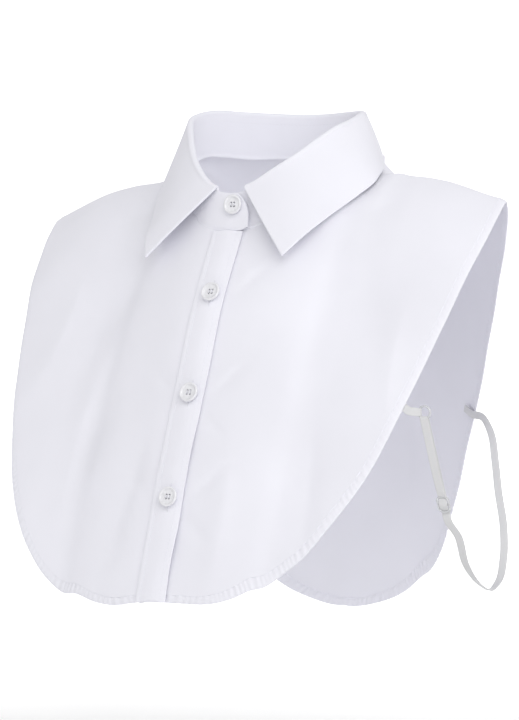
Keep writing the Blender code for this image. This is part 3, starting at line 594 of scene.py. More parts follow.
def solid_mesh(name, points, faces, places, looks):
    """A smooth mesh from arrays of points and four-sided faces, turned outward, at the origin."""
    mesh = bpy.data.meshes.new(name)
    mesh.vertices.add(len(points))
    mesh.vertices.foreach_set("co", np.ascontiguousarray(points, np.float32).ravel())
    mesh.loops.add(faces.size)
    mesh.loops.foreach_set("vertex_index", np.ascontiguousarray(faces, np.int32).ravel())
    mesh.polygons.add(len(faces))
    mesh.polygons.foreach_set("loop_start", np.arange(len(faces), dtype=np.int32) * 4)
    mesh.update(calc_edges=True)
    layer = mesh.uv_layers.new(name="cloth_uv")
    layer.data.foreach_set("uv", np.ascontiguousarray(places[faces.ravel()], np.float32).ravel())
    work = bmesh.new()
    work.from_mesh(mesh)
    bmesh.ops.remove_doubles(work, verts=work.verts[:], dist=1e-6)
    bmesh.ops.recalc_face_normals(work, faces=work.faces[:])
    work.to_mesh(mesh)
    work.free()
    mesh.shade_smooth()
    mesh.set_sharp_from_angle(angle=math.radians(60))
    mesh.materials.append(looks)
    made = bpy.data.objects.new(name, mesh)
    bpy.context.scene.collection.objects.link(made)
    return made


def spaced(line, count, crowd=1.0):
    """Points of a line at even lengths; crowd above 1 gathers them towards the start."""
    chord = np.concatenate([[0], np.cumsum(np.linalg.norm(np.diff(line, axis=0), axis=1))])
    wanted = np.linspace(0, 1, count) ** crowd * chord[-1]
    return np.stack([np.interp(wanted, chord, column) for column in line.T], axis=-1)


def unit(rows):
    """Directions of length one."""
    return rows / np.linalg.norm(rows, axis=-1, keepdims=True)


def grid_out(grid):
    """Directions square to a grid of points, from its slopes both ways."""
    return unit(np.cross(np.gradient(grid, axis=0), np.gradient(grid, axis=1)))


# Materials


def principled(name, roughness):
    made = bpy.data.materials.new(name)
    made.use_nodes = True
    nodes = made.node_tree.nodes
    shader = nodes["Principled BSDF"]
    shader.inputs["Roughness"].default_value = roughness
    return made, nodes, made.node_tree.links, shader


def colour_ramp(nodes, low, high, place_low, place_high):
    ramp = nodes.new("ShaderNodeValToRGB")
    ramp.color_ramp.elements[0].position = place_low
    ramp.color_ramp.elements[1].position = place_high
    ramp.color_ramp.elements[0].color = (*low, 1.0)
    ramp.color_ramp.elements[1].color = (*high, 1.0)
    return ramp


def cotton_look(name, colour, thread_pitch, crumple):
    """Plain weave: two crossed waves for the threads, slubs along them, and a soft crumple below."""
    made, nodes, links, shader = principled(name, 0.82)
    shader.inputs["Sheen Weight"].default_value = 0.12
    shader.inputs["Sheen Roughness"].default_value = 0.45
    shader.inputs["Specular IOR Level"].default_value = 0.30
    place = nodes.new("ShaderNodeTexCoord")
    waves = []
    for direction in ("X", "Y"):
        wave = nodes.new("ShaderNodeTexWave")
        wave.wave_type = "BANDS"
        wave.bands_direction = direction
        wave.inputs["Scale"].default_value = 0.314 / thread_pitch
        wave.inputs["Distortion"].default_value = 1.2
        wave.inputs["Detail"].default_value = 1.0
        wave.inputs["Detail Scale"].default_value = 0.6
        links.new(place.outputs["UV"], wave.inputs["Vector"])
        waves.append(wave)
    weave = nodes.new("ShaderNodeMath")
    weave.operation = "MAXIMUM"
    links.new(waves[0].outputs["Fac"], weave.inputs[0])
    links.new(waves[1].outputs["Fac"], weave.inputs[1])
    slub = nodes.new("ShaderNodeTexNoise")
    slub.inputs["Scale"].default_value = 420.0
    slub.inputs["Detail"].default_value = 3.0
    links.new(place.outputs["UV"], slub.inputs["Vector"])
    crease = nodes.new("ShaderNodeTexNoise")
    crease.inputs["Scale"].default_value = 38.0
    crease.inputs["Detail"].default_value = 3.0
    crease.inputs["Roughness"].default_value = 0.45
    crease.inputs["Distortion"].default_value = 0.4
    links.new(place.outputs["Object"], crease.inputs["Vector"])
    first = nodes.new("ShaderNodeBump")
    first.inputs["Strength"].default_value = crumple
    first.inputs["Distance"].default_value = 0.0012
    links.new(crease.outputs["Fac"], first.inputs["Height"])
    second = nodes.new("ShaderNodeBump")
    second.inputs["Strength"].default_value = 0.22
    second.inputs["Distance"].default_value = 0.00012
    links.new(slub.outputs["Fac"], second.inputs["Height"])
    links.new(first.outputs["Normal"], second.inputs["Normal"])
    third = nodes.new("ShaderNodeBump")
    third.inputs["Strength"].default_value = 0.30
    third.inputs["Distance"].default_value = 0.00008
    links.new(weave.outputs["Value"], third.inputs["Height"])
    links.new(second.outputs["Normal"], third.inputs["Normal"])
    links.new(third.outputs["Normal"], shader.inputs["Normal"])
    patch = nodes.new("ShaderNodeTexNoise")
    patch.inputs["Scale"].default_value = 14.0
    patch.inputs["Detail"].default_value = 2.0
    links.new(place.outputs["Object"], patch.inputs["Vector"])
    low = tuple(part * 0.972 for part in colour)
    ramp = colour_ramp(nodes, low, tuple(colour), 0.35, 0.65)
    links.new(patch.outputs["Fac"], ramp.inputs["Fac"])
    links.new(ramp.outputs["Color"], shader.inputs["Base Color"])
    return made


def thread_look(name, colour):
    """Twisted thread: fine slanted bands."""
    made, nodes, links, shader = principled(name, 0.60)
    place = nodes.new("ShaderNodeTexCoord")
    wave = nodes.new("ShaderNodeTexWave")
    wave.bands_direction = "DIAGONAL"
    wave.inputs["Scale"].default_value = 900.0
    links.new(place.outputs["Object"], wave.inputs["Vector"])
    bump = nodes.new("ShaderNodeBump")
    bump.inputs["Strength"].default_value = 0.3
    bump.inputs["Distance"].default_value = 0.00008
    links.new(wave.outputs["Fac"], bump.inputs["Height"])
    links.new(bump.outputs["Normal"], shader.inputs["Normal"])
    ramp = colour_ramp(nodes, tuple(part * 0.95 for part in colour), tuple(colour), 0.3, 0.7)
    links.new(wave.outputs["Fac"], ramp.inputs["Fac"])
    links.new(ramp.outputs["Color"], shader.inputs["Base Color"])
    return made


def elastic_look(name, colour):
    """Satin elastic: fine ribs along the tape, short cross threads, and a soft shine."""
    made, nodes, links, shader = principled(name, 0.42)
    shader.inputs["Sheen Weight"].default_value = 0.25
    place = nodes.new("ShaderNodeTexCoord")
    ribs = nodes.new("ShaderNodeTexWave")
    ribs.bands_direction = "Y"
    ribs.inputs["Scale"].default_value = 0.314 / 0.00062
    links.new(place.outputs["UV"], ribs.inputs["Vector"])
    cross = nodes.new("ShaderNodeTexWave")
    cross.bands_direction = "X"
    cross.inputs["Scale"].default_value = 0.314 / 0.00045
    cross.inputs["Distortion"].default_value = 1.5
    links.new(place.outputs["UV"], cross.inputs["Vector"])
    both = nodes.new("ShaderNodeMath")
    both.operation = "MULTIPLY_ADD"
    both.inputs[1].default_value = 0.35
    links.new(cross.outputs["Fac"], both.inputs[0])
    links.new(ribs.outputs["Fac"], both.inputs[2])
    bump = nodes.new("ShaderNodeBump")
    bump.inputs["Strength"].default_value = 0.35
    bump.inputs["Distance"].default_value = 0.00012
    links.new(both.outputs["Value"], bump.inputs["Height"])
    links.new(bump.outputs["Normal"], shader.inputs["Normal"])
    ramp = colour_ramp(nodes, tuple(part * 0.93 for part in colour), tuple(colour), 0.2, 0.9)
    links.new(ribs.outputs["Fac"], ramp.inputs["Fac"])
    links.new(ramp.outputs["Color"], shader.inputs["Base Color"])
    return made


def pearl_look(name, colour):
    """Pearl resin: a slow swirl of two whites under a clear gloss."""
    made, nodes, links, shader = principled(name, 0.28)
    shader.inputs["Coat Weight"].default_value = 0.6
    shader.inputs["Coat Roughness"].default_value = 0.08
    place = nodes.new("ShaderNodeTexCoord")
    swirl = nodes.new("ShaderNodeTexNoise")
    swirl.inputs["Scale"].default_value = 160.0
    swirl.inputs["Detail"].default_value = 4.0
    swirl.inputs["Distortion"].default_value = 2.2
    links.new(place.outputs["Object"], swirl.inputs["Vector"])
    ramp = colour_ramp(nodes, tuple(part * 0.88 for part in colour), tuple(colour), 0.30, 0.72)
    links.new(swirl.outputs["Fac"], ramp.inputs["Fac"])
    links.new(ramp.outputs["Color"], shader.inputs["Base Color"])
    return made


def clear_look(name, colour):
    """Clear plastic with a slight haze: part of the light passes through."""
    made, nodes, links, shader = principled(name, 0.12)
    shader.inputs["Transmission Weight"].default_value = 0.45
    shader.inputs["IOR"].default_value = 1.46
    place = nodes.new("ShaderNodeTexCoord")
    haze = nodes.new("ShaderNodeTexNoise")
    haze.inputs["Scale"].default_value = 240.0
    links.new(place.outputs["Object"], haze.inputs["Vector"])
    ramp = colour_ramp(nodes, tuple(part * 0.94 for part in colour), tuple(colour), 0.35, 0.65)
    links.new(haze.outputs["Fac"], ramp.inputs["Fac"])
    links.new(ramp.outputs["Color"], shader.inputs["Base Color"])
    return made


def look(kind):
    """The material of one kind, made the first time that it is wanted."""
    if kind in bpy.data.materials:
        return bpy.data.materials[kind]
    fabric = bpy.context.scene.shirt_cloth
    trim = bpy.context.scene.shirt_trim
    if kind == "poplin_cotton":
        return cotton_look(kind, fabric.cotton, 0.00034, 0.10)
    if kind == "collar_cotton":
        return cotton_look(kind, fabric.cotton, 0.00034, 0.05)
    if kind == "hem_cotton":
        return cotton_look(kind, fabric.cotton, 0.00034, 0.04)
    if kind == "sewing_thread":
        return thread_look(kind, trim.thread)
    if kind == "satin_elastic":
        return elastic_look(kind, trim.elastic)
    if kind == "pearl_resin":
        return pearl_look(kind, trim.pearl)
    if kind == "hazy_plastic":
        return clear_look(kind, trim.clear)
    raise RuntimeError("no material is called " + kind)


def keep(piece, slot, *nodes):
    """A finished piece rides on the whole shirt and stands for its solids."""
    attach(piece, "root")
    if nodes:
        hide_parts(*nodes)
    return piece


# Stitches


def bead(sides=6, rings=4):
    """A small rounded stitch of unit length, width and height, drawn out along its first axis."""
    along = np.cos(np.linspace(math.pi, 0, rings + 2))
    fat = np.sqrt(np.clip(1 - along**4, 0, None))
    fat[[0, -1]] = 0.25
    turn = np.linspace(0, 2 * math.pi, sides, endpoint=False)
    shape = np.zeros((rings + 2, sides, 3))
    shape[..., 0] = along[:, None] / 2
    shape[..., 1] = fat[:, None] * np.cos(turn) / 2
    shape[..., 2] = fat[:, None] * np.sin(turn) / 2
    index = np.arange((rings + 2) * sides).reshape(rings + 2, sides)
    index = np.concatenate([index, index[:, :1]], axis=1)
    body = np.stack([index[:-1, :-1], index[:-1, 1:], index[1:, 1:], index[1:, :-1]], -1).reshape(-1, 4)
    start = [(0, 5, 4, 1), (1, 4, 3, 2)]
    end = [(b + (rings + 1) * sides, a + (rings + 1) * sides, d + (rings + 1) * sides, c + (rings + 1) * sides)
           for a, b, c, d in start]
    return shape.reshape(-1, 3), np.concatenate([body, np.array(start), np.array(end)])


def sew(name, lines, length=STITCH_LENGTH, width=STITCH_WIDTH, pitch=STITCH_PITCH):
    """Stitches along lines of points with outward directions: one bead every pitch."""
    shape, faces = bead()
    points = []
    for line, out in lines:
        chord = np.concatenate([[0], np.cumsum(np.linalg.norm(np.diff(line, axis=0), axis=1))])
        count = max(2, int(chord[-1] / pitch))
        at = (np.arange(count) + 0.5) * chord[-1] / count
        centre = np.stack([np.interp(at, chord, column) for column in line.T], axis=-1)
        ahead = np.stack([np.interp(at + length / 2, chord, column) for column in line.T], axis=-1)
        behind = np.stack([np.interp(at - length / 2, chord, column) for column in line.T], axis=-1)
        run = unit(ahead - behind)
        normal = np.stack([np.interp(at, chord, column) for column in out.T], axis=-1)
        normal = unit(normal - run * np.sum(normal * run, axis=1, keepdims=True))
        side = np.cross(normal, run)
        made = centre[:, None] + run[:, None] * shape[:, :1] * length
        made = made + side[:, None] * shape[:, 1:2] * width + normal[:, None] * shape[:, 2:] * width * 0.8
        points.append(made)
    points = np.concatenate(points)
    count, size = points.shape[:2]
    every = (faces[None] + (np.arange(count) * size)[:, None, None]).reshape(-1, 4)
    places = np.zeros((count * size, 2))
    return keep(solid_mesh(name, points.reshape(-1, 3), every, places, look("sewing_thread")), "cotton")


# Panels


def cut_line(rows, other_rows, last_x):
    """A panel's cut edge as far as last_x, at even small steps."""
    line = edge_place(rows, other_rows)
    line = line[line[:, 0] >= last_x]
    return spaced(line, EDGE_STEPS)


def inset(line, depth, sign):
    """The cut edge moved in by a depth, square to itself, and kept on its own side of the shoulder seam."""
    run = unit(np.gradient(line, axis=0))
    inward = np.stack([-run[:, 1], run[:, 0]], axis=-1) * sign
    moved = line[:, None] + inward[:, None] * np.atleast_1d(depth)[:, None]
    seam = np.maximum(moved[..., 1] * sign, 0.00004) * sign
    return np.stack([moved[..., 0], seam], axis=-1)


def pucker(run, depth, length):
    """Height of the hem's puckers: slanted waves of uneven size, strongest low on the shirt."""
    wave = run / PUCKER_LENGTH + 0.35 * np.sin(run * 103.0) + 0.22 * np.sin(run * 271.0 + 1.0)
    size = 0.62 + 0.38 * np.sin(run * 190.0 + 0.7) * np.sin(run * 83.0)
    low = 0.30 + 0.70 * smooth_step(np.abs(length), 0.14, 0.27)
    fade = np.exp(-((depth - 0.0028) / PUCKER_FADE * 2.0) ** 2)
    height = bpy.context.scene.shirt_cloth.pucker
    return height * size * low * fade * np.sin(2 * math.pi * (wave + depth / PUCKER_SLANT))


def hem_place(line, depth, height, side, lift_of):
    """Places on a hem by its depth from the cut edge and its height above the panel's middle."""
    sign = 1.0 if line[-1, 1] > 0 else -1.0
    flat = np.stack([inset(line, value, sign)[:, 0] for value in depth], axis=1)
    run = np.concatenate([[0], np.cumsum(np.linalg.norm(np.diff(line, axis=0), axis=1))])[:, None]
    x = flat[..., 0] * side
    length = flat[..., 1]
    rise = pucker(run, np.asarray(depth)[None], length)
    rise = rise - HEM_ROLL * np.clip(1 - np.asarray(depth)[None] / HEM_WIDTH, 0.0, 1.0) ** 1.6
    return cloth(x, length, lift_of(x) + np.asarray(height)[None] + rise)


def hem_profile(count=26):
    """Depth and height round a hem: a rounded bar with a groove where the stitches pull it in."""
    turn = np.linspace(0, 2 * math.pi, count, endpoint=False)
    power = 0.42
    depth = HEM_WIDTH / 2 * (1 - np.sign(np.cos(turn)) * np.abs(np.cos(turn)) ** power)
    half = (HEM_TOP - HEM_FOOT) / 2
    height = HEM_TOP - half + half * np.sign(np.sin(turn)) * np.abs(np.sin(turn)) ** power
    groove = np.exp(-((depth - HEM_STITCH) / 0.0006) ** 2)
    return depth, height - HEM_GROOVE * groove * (np.sin(turn) > 0.1)


def make_hem(name, line, side, lift_of, step=0.0007):
    """The turned hem along a cut edge, and the points of its stitch line inside and out."""
    total = np.linalg.norm(np.diff(line, axis=0), axis=1).sum()
    line = spaced(line, int(total / step))
    depth, height = hem_profile()
    rings = hem_place(line, depth, height, side, lift_of)
    run = np.linspace(0, total, len(line))
    uv = np.stack(np.broadcast_arrays(run[:, None], depth[None]), -1)
    band = keep(ring_wall(name, rings, uv, look("hem_cotton")), "cotton")
    top = hem_place(line, [HEM_STITCH], [HEM_TOP - HEM_GROOVE + 0.00008], side, lift_of)[:, 0]
    foot = hem_place(line, [HEM_STITCH], [HEM_FOOT - 0.00002], side, lift_of)[:, 0]
    out = unit(top - foot)
    return band, [(top, out), (foot, -out)]


def panel_sheet(name, neck, line, side, lift_of, rows, node):
    """Thin cloth from the neck edge to the hem's stitch line, along straight rays."""
    grow = np.linspace(0, 1, rows)[:, None, None]
    flat = neck + (line - neck) * grow
    x = flat[..., 0] * side
    length = flat[..., 1]
    lift = lift_of(x) + CLOTH_LIFT
    outer = cloth(x, length, lift + CLOTH_HALF)
    inner = cloth(x, length, lift - CLOTH_HALF)
    uv = np.stack([x, length], -1)
    return keep(closed_wall(name, outer, inner, uv, look("poplin_cotton")), "cotton", node)


def front_lift(x):
    """The right front rises over the left one, and its far edge bends back down under the placket."""
    rise = RIGHT_FRONT_LIFT * smooth_step(x, LIFT_STARTS, LIFT_ENDS)
    return rise - 0.0008 * smooth_step(x, 0.002, RIGHT_FRONT_EDGE)


def level(x):
    """No lift anywhere."""
    return np.zeros_like(x)


def make_front(name, node, side, rows, other, last_x, under_stand, lift_of):
    angles = np.linspace(SEAM_ANGLE, -NECK_PAST_CENTRE, NECK_STEPS)
    neck = neck_place(angles)
    neck[:, 1] = neck[:, 1] + under_stand * (1 - smooth_step(np.abs(angles), *UNDER_STAND_FADE))
    neck = neck[neck[:, 0] >= last_x]
    line = cut_line(rows, other, last_x)
    inner = inset(line, HEM_STITCH, 1.0)[:, 0]
    count = 190
    neck = spaced(neck, count, 1.15)
    inner = spaced(inner, count, 1.15)
    neck[:, 1] = np.maximum(neck[:, 1], 0.00004)
    sheet = panel_sheet(name, neck, inner, side, lift_of, 130, node)
    hem, seams = make_hem(name.replace("cloth", "hem"), line, side, lift_of)
    thread = sew(name.replace("cloth", "hem_stitches"), seams)


class SHIRT_OT_fronts(bpy.types.Operator):
    """Make both front panels with their hems and hem stitches"""

    bl_idname = "shirt.fronts"
    bl_label = "Fronts"

    def execute(self, context):
        make_front("front_left_cloth", "front_left", 1, FRONT_EDGE_LEFT, FRONT_EDGE_RIGHT,
                   -PLACKET_HALF_WIDTH, 0.0, level)
        make_front("front_right_cloth", "front_right", -1, FRONT_EDGE_RIGHT, FRONT_EDGE_LEFT,
                   -RIGHT_FRONT_EDGE, RIGHT_UNDER_STAND, front_lift)
        return {"FINISHED"}


class SHIRT_OT_back(bpy.types.Operator):
    """Make the back panel with its hem and hem stitches"""

    bl_idname = "shirt.back"
    bl_label = "Back"

    def execute(self, context):
        neck = neck_place(np.linspace(SEAM_ANGLE, 360 - SEAM_ANGLE, NECK_STEPS))
        neck[[0, -1], 1] = 0.0
        line = spaced(edge_place(BACK_EDGE, BACK_EDGE), 2 * EDGE_STEPS)
        inner = inset(line, HEM_STITCH, -1.0)[:, 0]
        neck = spaced(neck, 300)
        inner = spaced(inner, 300)
        neck[:, 1] = np.minimum(neck[:, 1], -0.00004)
        sheet = panel_sheet("back_cloth", neck, inner, 1, level, 135, "back")
        hem, seams = make_hem("back_hem", line, 1, level)
        thread = sew("back_hem_stitches", seams)
        return {"FINISHED"}


# Placket


def placket_lift(x, length):
    """The band lies on the right front. Its free edge bends down, and gapes a little below the last button."""
    down = 0.0014 * smooth_step(x, 0.0045, PLACKET_HALF_WIDTH)
    gape = 0.0016 * np.exp(-((length - 0.312) / 0.016) ** 2) + 0.0007 * np.exp(-((length - 0.252) / 0.014) ** 2)
    return PLACKET_LIFT - 0.0002 - down + gape * smooth_step(x, 0.001, PLACKET_HALF_WIDTH)


def placket_side(x, length):
    """The free edge sways sideways where it gapes."""
    sway = 0.0007 * np.exp(-((length - 0.306) / 0.012) ** 2) - 0.0004 * np.exp(-((length - 0.330) / 0.010) ** 2)
    return x + sway * smooth_step(x, 0.0, PLACKET_HALF_WIDTH)


def placket_ends():
    line = edge_place(FRONT_EDGE_LEFT, FRONT_EDGE_RIGHT)
    line = line[np.abs(line[:, 0]) < 2 * PLACKET_HALF_WIDTH]
    return line[::-1]


def placket_place(x, share, height):
    """A place on the placket by x, by its share of the way down, and by its height above the band's middle."""
    start = neck_place(np.degrees(np.arcsin(x / NECK_RADIUS_FRONT)))[..., 1] + PLACKET_UNDER_STAND
    ends = placket_ends()
    stop = np.interp(x, ends[:, 0], ends[:, 1]) + 0.0004
    length = start + (stop - start) * share
    return cloth(placket_side(x, length), length, placket_lift(x, length) + height)


class SHIRT_OT_placket(bpy.types.Operator):
    """Make the folded button band with a stitch line inside each edge"""

    bl_idname = "shirt.placket"
    bl_label = "Placket"

    def execute(self, context):
        wall = context.scene.shirt_cloth.placket_wall
        turn = np.linspace(0, 2 * math.pi, 44, endpoint=False)
        x = PLACKET_HALF_WIDTH * np.sign(np.cos(turn)) * np.abs(np.cos(turn)) ** 0.30
        height = wall / 2 * np.sign(np.sin(turn)) * np.abs(np.sin(turn)) ** 0.30
        edge = PLACKET_HALF_WIDTH - np.abs(x)
        height = height - 0.00022 * np.exp(-((edge - 0.0034) / 0.0007) ** 2) * (np.sin(turn) > 0.1)
        share = np.linspace(0, 1, 300)
        rings = placket_place(x[None], share[:, None], height[None])
        uv = np.stack(np.broadcast_arrays(x[None], share[:, None] * 0.245), -1)
        band = keep(ring_wall("placket_cloth", rings, uv, look("collar_cotton")), "cotton", "placket")
        seams = []
        for place in (-1, 1):
            across = np.full(300, place * (PLACKET_HALF_WIDTH - 0.0034))
            inside = share * 0.992 + 0.004
            top = placket_place(across, inside, wall / 2 - 0.00014)
            foot = placket_place(across, inside, -wall / 2)
            seams.append((top, unit(top - foot)))
        thread = sew("placket_stitches", seams)
        return {"FINISHED"}


# Collar stand and collar


def stand_lines(angle, layer):
    """Head and foot of the stand at an angle, its layer moving it outward."""
    around = np.abs((angle + 180.0) % 360.0 - 180.0)
    rows = table(STAND, STAND_COLUMNS, "angle", ("radius", "z", "foot_out", "foot_up"), around) * CM
    place = neck_place(around)
    neck_height = drape_plain(place[..., 0], place[..., 1])[..., 2]
    lean = STAND_LEAN * np.sin(np.radians(angle)) ** 3
    from_peak = (angle + 180.0) % 360.0 - 180.0 + RIGHT_PEAK_ANGLE
    peak = np.exp(-(from_peak / np.where(from_peak > 0, RIGHT_PEAK_AHEAD, RIGHT_PEAK_BEHIND)) ** 2)
    radius = rows[..., 0] + layer + RIGHT_PEAK_OUT * peak
    head = ring_point(angle, radius, rows[..., 1] - lean + RIGHT_PEAK_UP * peak)
    foot = ring_point(angle, neck_radius(around) + rows[..., 2] + layer, neck_height + rows[..., 3])
    return head, foot


def ring_point(angle, radius, height):
    """A place round the neck, by the angle from the front centre."""
    turn = np.radians(angle)
    return np.stack([radius * np.sin(turn), -radius * np.cos(turn), height + 0.0 * turn], axis=-1)


def stand_layer(travel):
    """The right end lies a layer out, the left end a layer in, and both fade towards the sides."""
    whole = 360.0 + 2 * STAND_OVERLAP
    right = 1 - smooth_step(travel, 2 * STAND_OVERLAP, LAYER_FADE + STAND_OVERLAP)
    left = smooth_step(travel, whole - LAYER_FADE - STAND_OVERLAP, whole - 2 * STAND_OVERLAP)
    return STAND_LAYER_GAP / 2 * (right - left)


def edged(count, span, wall):
    """Even shares from 0 to 1 over a span, with close rows at both ends that round a wall's edges."""
    close = np.array([0.0, 0.05, 0.14, 0.28, 0.45, 0.66, 0.90]) * wall / span
    middle = np.linspace(close[-1] * 1.6, 1 - close[-1] * 1.6, count)
    return np.concatenate([close, middle, 1 - close[::-1]])


def rounded(distance, wall):
    """Half the wall's thickness at a distance from its edge: a quarter circle, then level."""
    part = np.clip(distance / (wall / 2), 0.0, 1.0)
    return wall / 2 * np.sqrt(np.clip(1 - (1 - part) ** 2, 0.0004, 1.0))


def stand_grid(travel, rise):
    """The stand's middle surface by travel in degrees and by share of its height. The ends round over."""
    whole = 360.0 + 2 * STAND_OVERLAP
    head, foot = stand_lines(STAND_OVERLAP - travel, stand_layer(travel))
    past = np.minimum(travel, whole - travel)
    inward = np.clip((STAND_OVERLAP - END_ROUNDS_FROM - past) / (STAND_OVERLAP - END_ROUNDS_FROM), 0, 1)
    height = np.sqrt(1 - (1 - END_LEAST_HEIGHT**2) * inward**2)
    turn = np.abs((STAND_OVERLAP - travel + 180.0) % 360.0 - 180.0)
    front = 1 - smooth_step(turn, 20.0, 55.0)
    foot = foot - unit(head - foot) * (STAND_FOOT_DOWN * front * smooth_step(height, 0.5, 0.95))[..., None]
    head = head + unit(head - foot) * (STAND_HEAD_UP * smooth_step(turn, 9.0, 12.0))[..., None]
    off = STAND_END_OFF * (1 - smooth_step(travel, 0.0, 11.0))
    outward = ring_point(STAND_OVERLAP - travel, 1.0, 0.0)
    low = foot + outward * off[..., None]
    return low + (head - foot) * (rise * height)[..., None]


class SHIRT_OT_stand(bpy.types.Operator):
    """Make the collar stand with its stitch lines"""

    bl_idname = "shirt.stand"
    bl_label = "Collar stand"

    def execute(self, context):
        wall = context.scene.shirt_cloth.stand_wall
        whole = 360.0 + 2 * STAND_OVERLAP
        travel = edged(330, 0.400, wall) * whole
        rise = edged(22, 0.030, wall)
        grid = stand_grid(*np.broadcast_arrays(travel[None], rise[:, None]))
        out = ring_point(STAND_OVERLAP - travel, 1.0, 0.0)[None]
        from_end = np.minimum(travel, whole - travel)[None] / whole * 0.400
        from_side = np.minimum(rise, 1 - rise)[:, None] * 0.030
        thick = rounded(from_end, wall) * rounded(from_side, wall) / (wall / 2)
        thick = thick - 0.00016 * np.exp(-((rise[:, None] * 0.030 - 0.0022) / 0.0006) ** 2)
        thick = np.maximum(thick, 0.00002)[..., None]
        up = rise[:, None, None] * 0.030
        ridge = np.exp(-((up - 0.0012) / 0.0010) ** 2) - 0.4 * np.exp(-((up - 0.0034) / 0.0007) ** 2)
        ridge = STAND_RIDGE * ridge
        ridge = ridge * smooth_step(travel, 40.0, 80.0)[None, :, None]
        ridge = ridge * (1 - smooth_step(travel, whole - 80.0, whole - 40.0))[None, :, None]
        uv = np.stack(np.broadcast_arrays(travel[None] / whole * 0.40, rise[:, None] * 0.03), -1)
        band = closed_wall("collar_stand_cloth", grid + out * thick, grid - out * (thick + ridge), uv,
                           look("collar_cotton"))
        keep(band, "cotton", "collar_stand")
        seams = []
        for share, both in ((0.073, True), (0.83, False)):
            path = np.linspace(8.0, whole - 8.0, 500)
            middle = stand_grid(path, np.full(500, share))
            side = ring_point(STAND_OVERLAP - path, 1.0, 0.0)
            reach = wall / 2 - 0.00004
            seams.append((middle - side * reach, -side))
            if both:
                seams.append((middle + side * reach, side))
        thread = sew("stand_stitches", seams)
        return {"FINISHED"}


def leaf_floor(x, y):
    """The lowest the collar may hang at a plan place, clear of the panel below it."""
    length = cloth_length(x, y)
    steep = drape_out(x, length)[..., 2]
    rise = np.where((x < 0) & (y < 0), front_lift(x), 0.0) + shoulder_rise(x, length)
    return drape(x, length)[..., 2] + (LEAF_CLEARANCE + rise) / steep


def leaf_grid(fold, roll_rows, share):
    """Middle surface of the turned-down collar: a half-round roll over the stand's head, then a straight fall."""
    signed = -fold
    around = np.minimum(fold, 360 - fold)
    side = np.where(fold <= 180, -1.0, 1.0)
    rows = table(LEAF, LEAF_COLUMNS, "fold_angle", ("edge_angle", "edge_radius", "edge_z", "sideways"), around)
    edge = ring_point(side * rows[:, 0], rows[:, 1] * CM, rows[:, 2] * CM)
    edge[:, 0] = edge[:, 0] + rows[:, 3] * CM
    head, _ = stand_lines(signed, stand_layer(STAND_OVERLAP + fold))
    outward = ring_point(signed, 1.0, 0.0)
    up = np.array([0.0, 0.0, 1.0])
    seat = head + up * LEAF_SEAT
    centre = seat + outward * LEAF_ROLL_RADIUS + up * LEAF_ROLL_RADIUS / 2
    turn = np.radians(np.linspace(180, 0, roll_rows))[:, None, None]
    roll = centre + LEAF_ROLL_RADIUS * (np.cos(turn) * outward + np.sin(turn) * up)
    part = share[:, None, None]
    bow = LEAF_BULGE * np.sin(np.pi * part)
    fall = roll[-1] + (edge - roll[-1]) * part + outward * bow
    fall[..., 2] = np.maximum(fall[..., 2], leaf_floor(fall[..., 0], fall[..., 1]))
    return np.concatenate([seat[None], roll, fall[1:]])


class SHIRT_OT_leaf(bpy.types.Operator):
    """Make the turned-down collar"""

    bl_idname = "shirt.leaf"
    bl_label = "Turned-down collar"

    def execute(self, context):
        wall = context.scene.shirt_cloth.leaf_wall
        first = LEAF[0][0]
        across = edged(250, 0.36, wall)
        fold = first + (360 - 2 * first) * across
        share = edged(34, 0.055, wall)
        share = share[np.searchsorted(share, 0.03):]
        share = np.concatenate([[0.0], share])
        grid = leaf_grid(fold, 12, share)
        reach = np.linalg.norm(np.diff(grid, axis=0), axis=2)
        down = np.concatenate([np.zeros((1, len(fold))), np.cumsum(reach, axis=0)])
        from_foot = down[-1] - down
        width = np.linalg.norm(np.diff(grid, axis=1), axis=2)
        along = np.concatenate([np.zeros((len(grid), 1)), np.cumsum(width, axis=1)], axis=1)
        from_end = np.minimum(along, along[:, -1:] - along)
        thick = rounded(from_foot, wall) * rounded(from_end, wall) / (wall / 2)
        thick = np.maximum(thick, 0.00002)[..., None]
        out = grid_out(grid)
        uv = np.stack([along, down], -1)
        leaf = closed_wall("collar_leaf_cloth", grid + out * thick, grid - out * thick, uv,
                           look("collar_cotton"))
        keep(leaf, "cotton", "collar_leaf")
        return {"FINISHED"}


# Buttons


def button_frames():
    """Seat, outward direction and upward direction of each button."""
    angle = np.array([STAND_BUTTON_ANGLE])
    head, foot = stand_lines(angle, np.array([STAND_LAYER_GAP / 2]))
    up = unit(head[0] - foot[0])
    out = unit(np.cross(ring_point(angle + 90.0, 1.0, 0.0)[0], up))
    seat = foot[0] + (head[0] - foot[0]) * STAND_BUTTON_RISE
    frames = [(seat + ring_point(angle, 1.0, 0.0)[0] * (STAND_WALL / 2 + BUTTON_SEAT), out, up)]
    for length in PLACKET_BUTTONS:
        place = np.array([PLACKET_BUTTON_SIDE]), np.array([length * CM])
        seat = drape(*place, PLACKET_LIFT + PLACKET_WALL / 2 + BUTTON_SEAT)[0]
        frames.append((seat, drape_out(*place)[0], np.array([0.0, 0.0, 1.0])))
    return frames


def in_frame(points, seat, out, up):
    """Points from a button's own axes, third outward, into the shirt's frame."""
    out = unit(np.asarray(out))
    right = unit(np.cross(up, out))
    axes = np.stack([right, np.cross(out, right), out])
    return seat + points @ axes


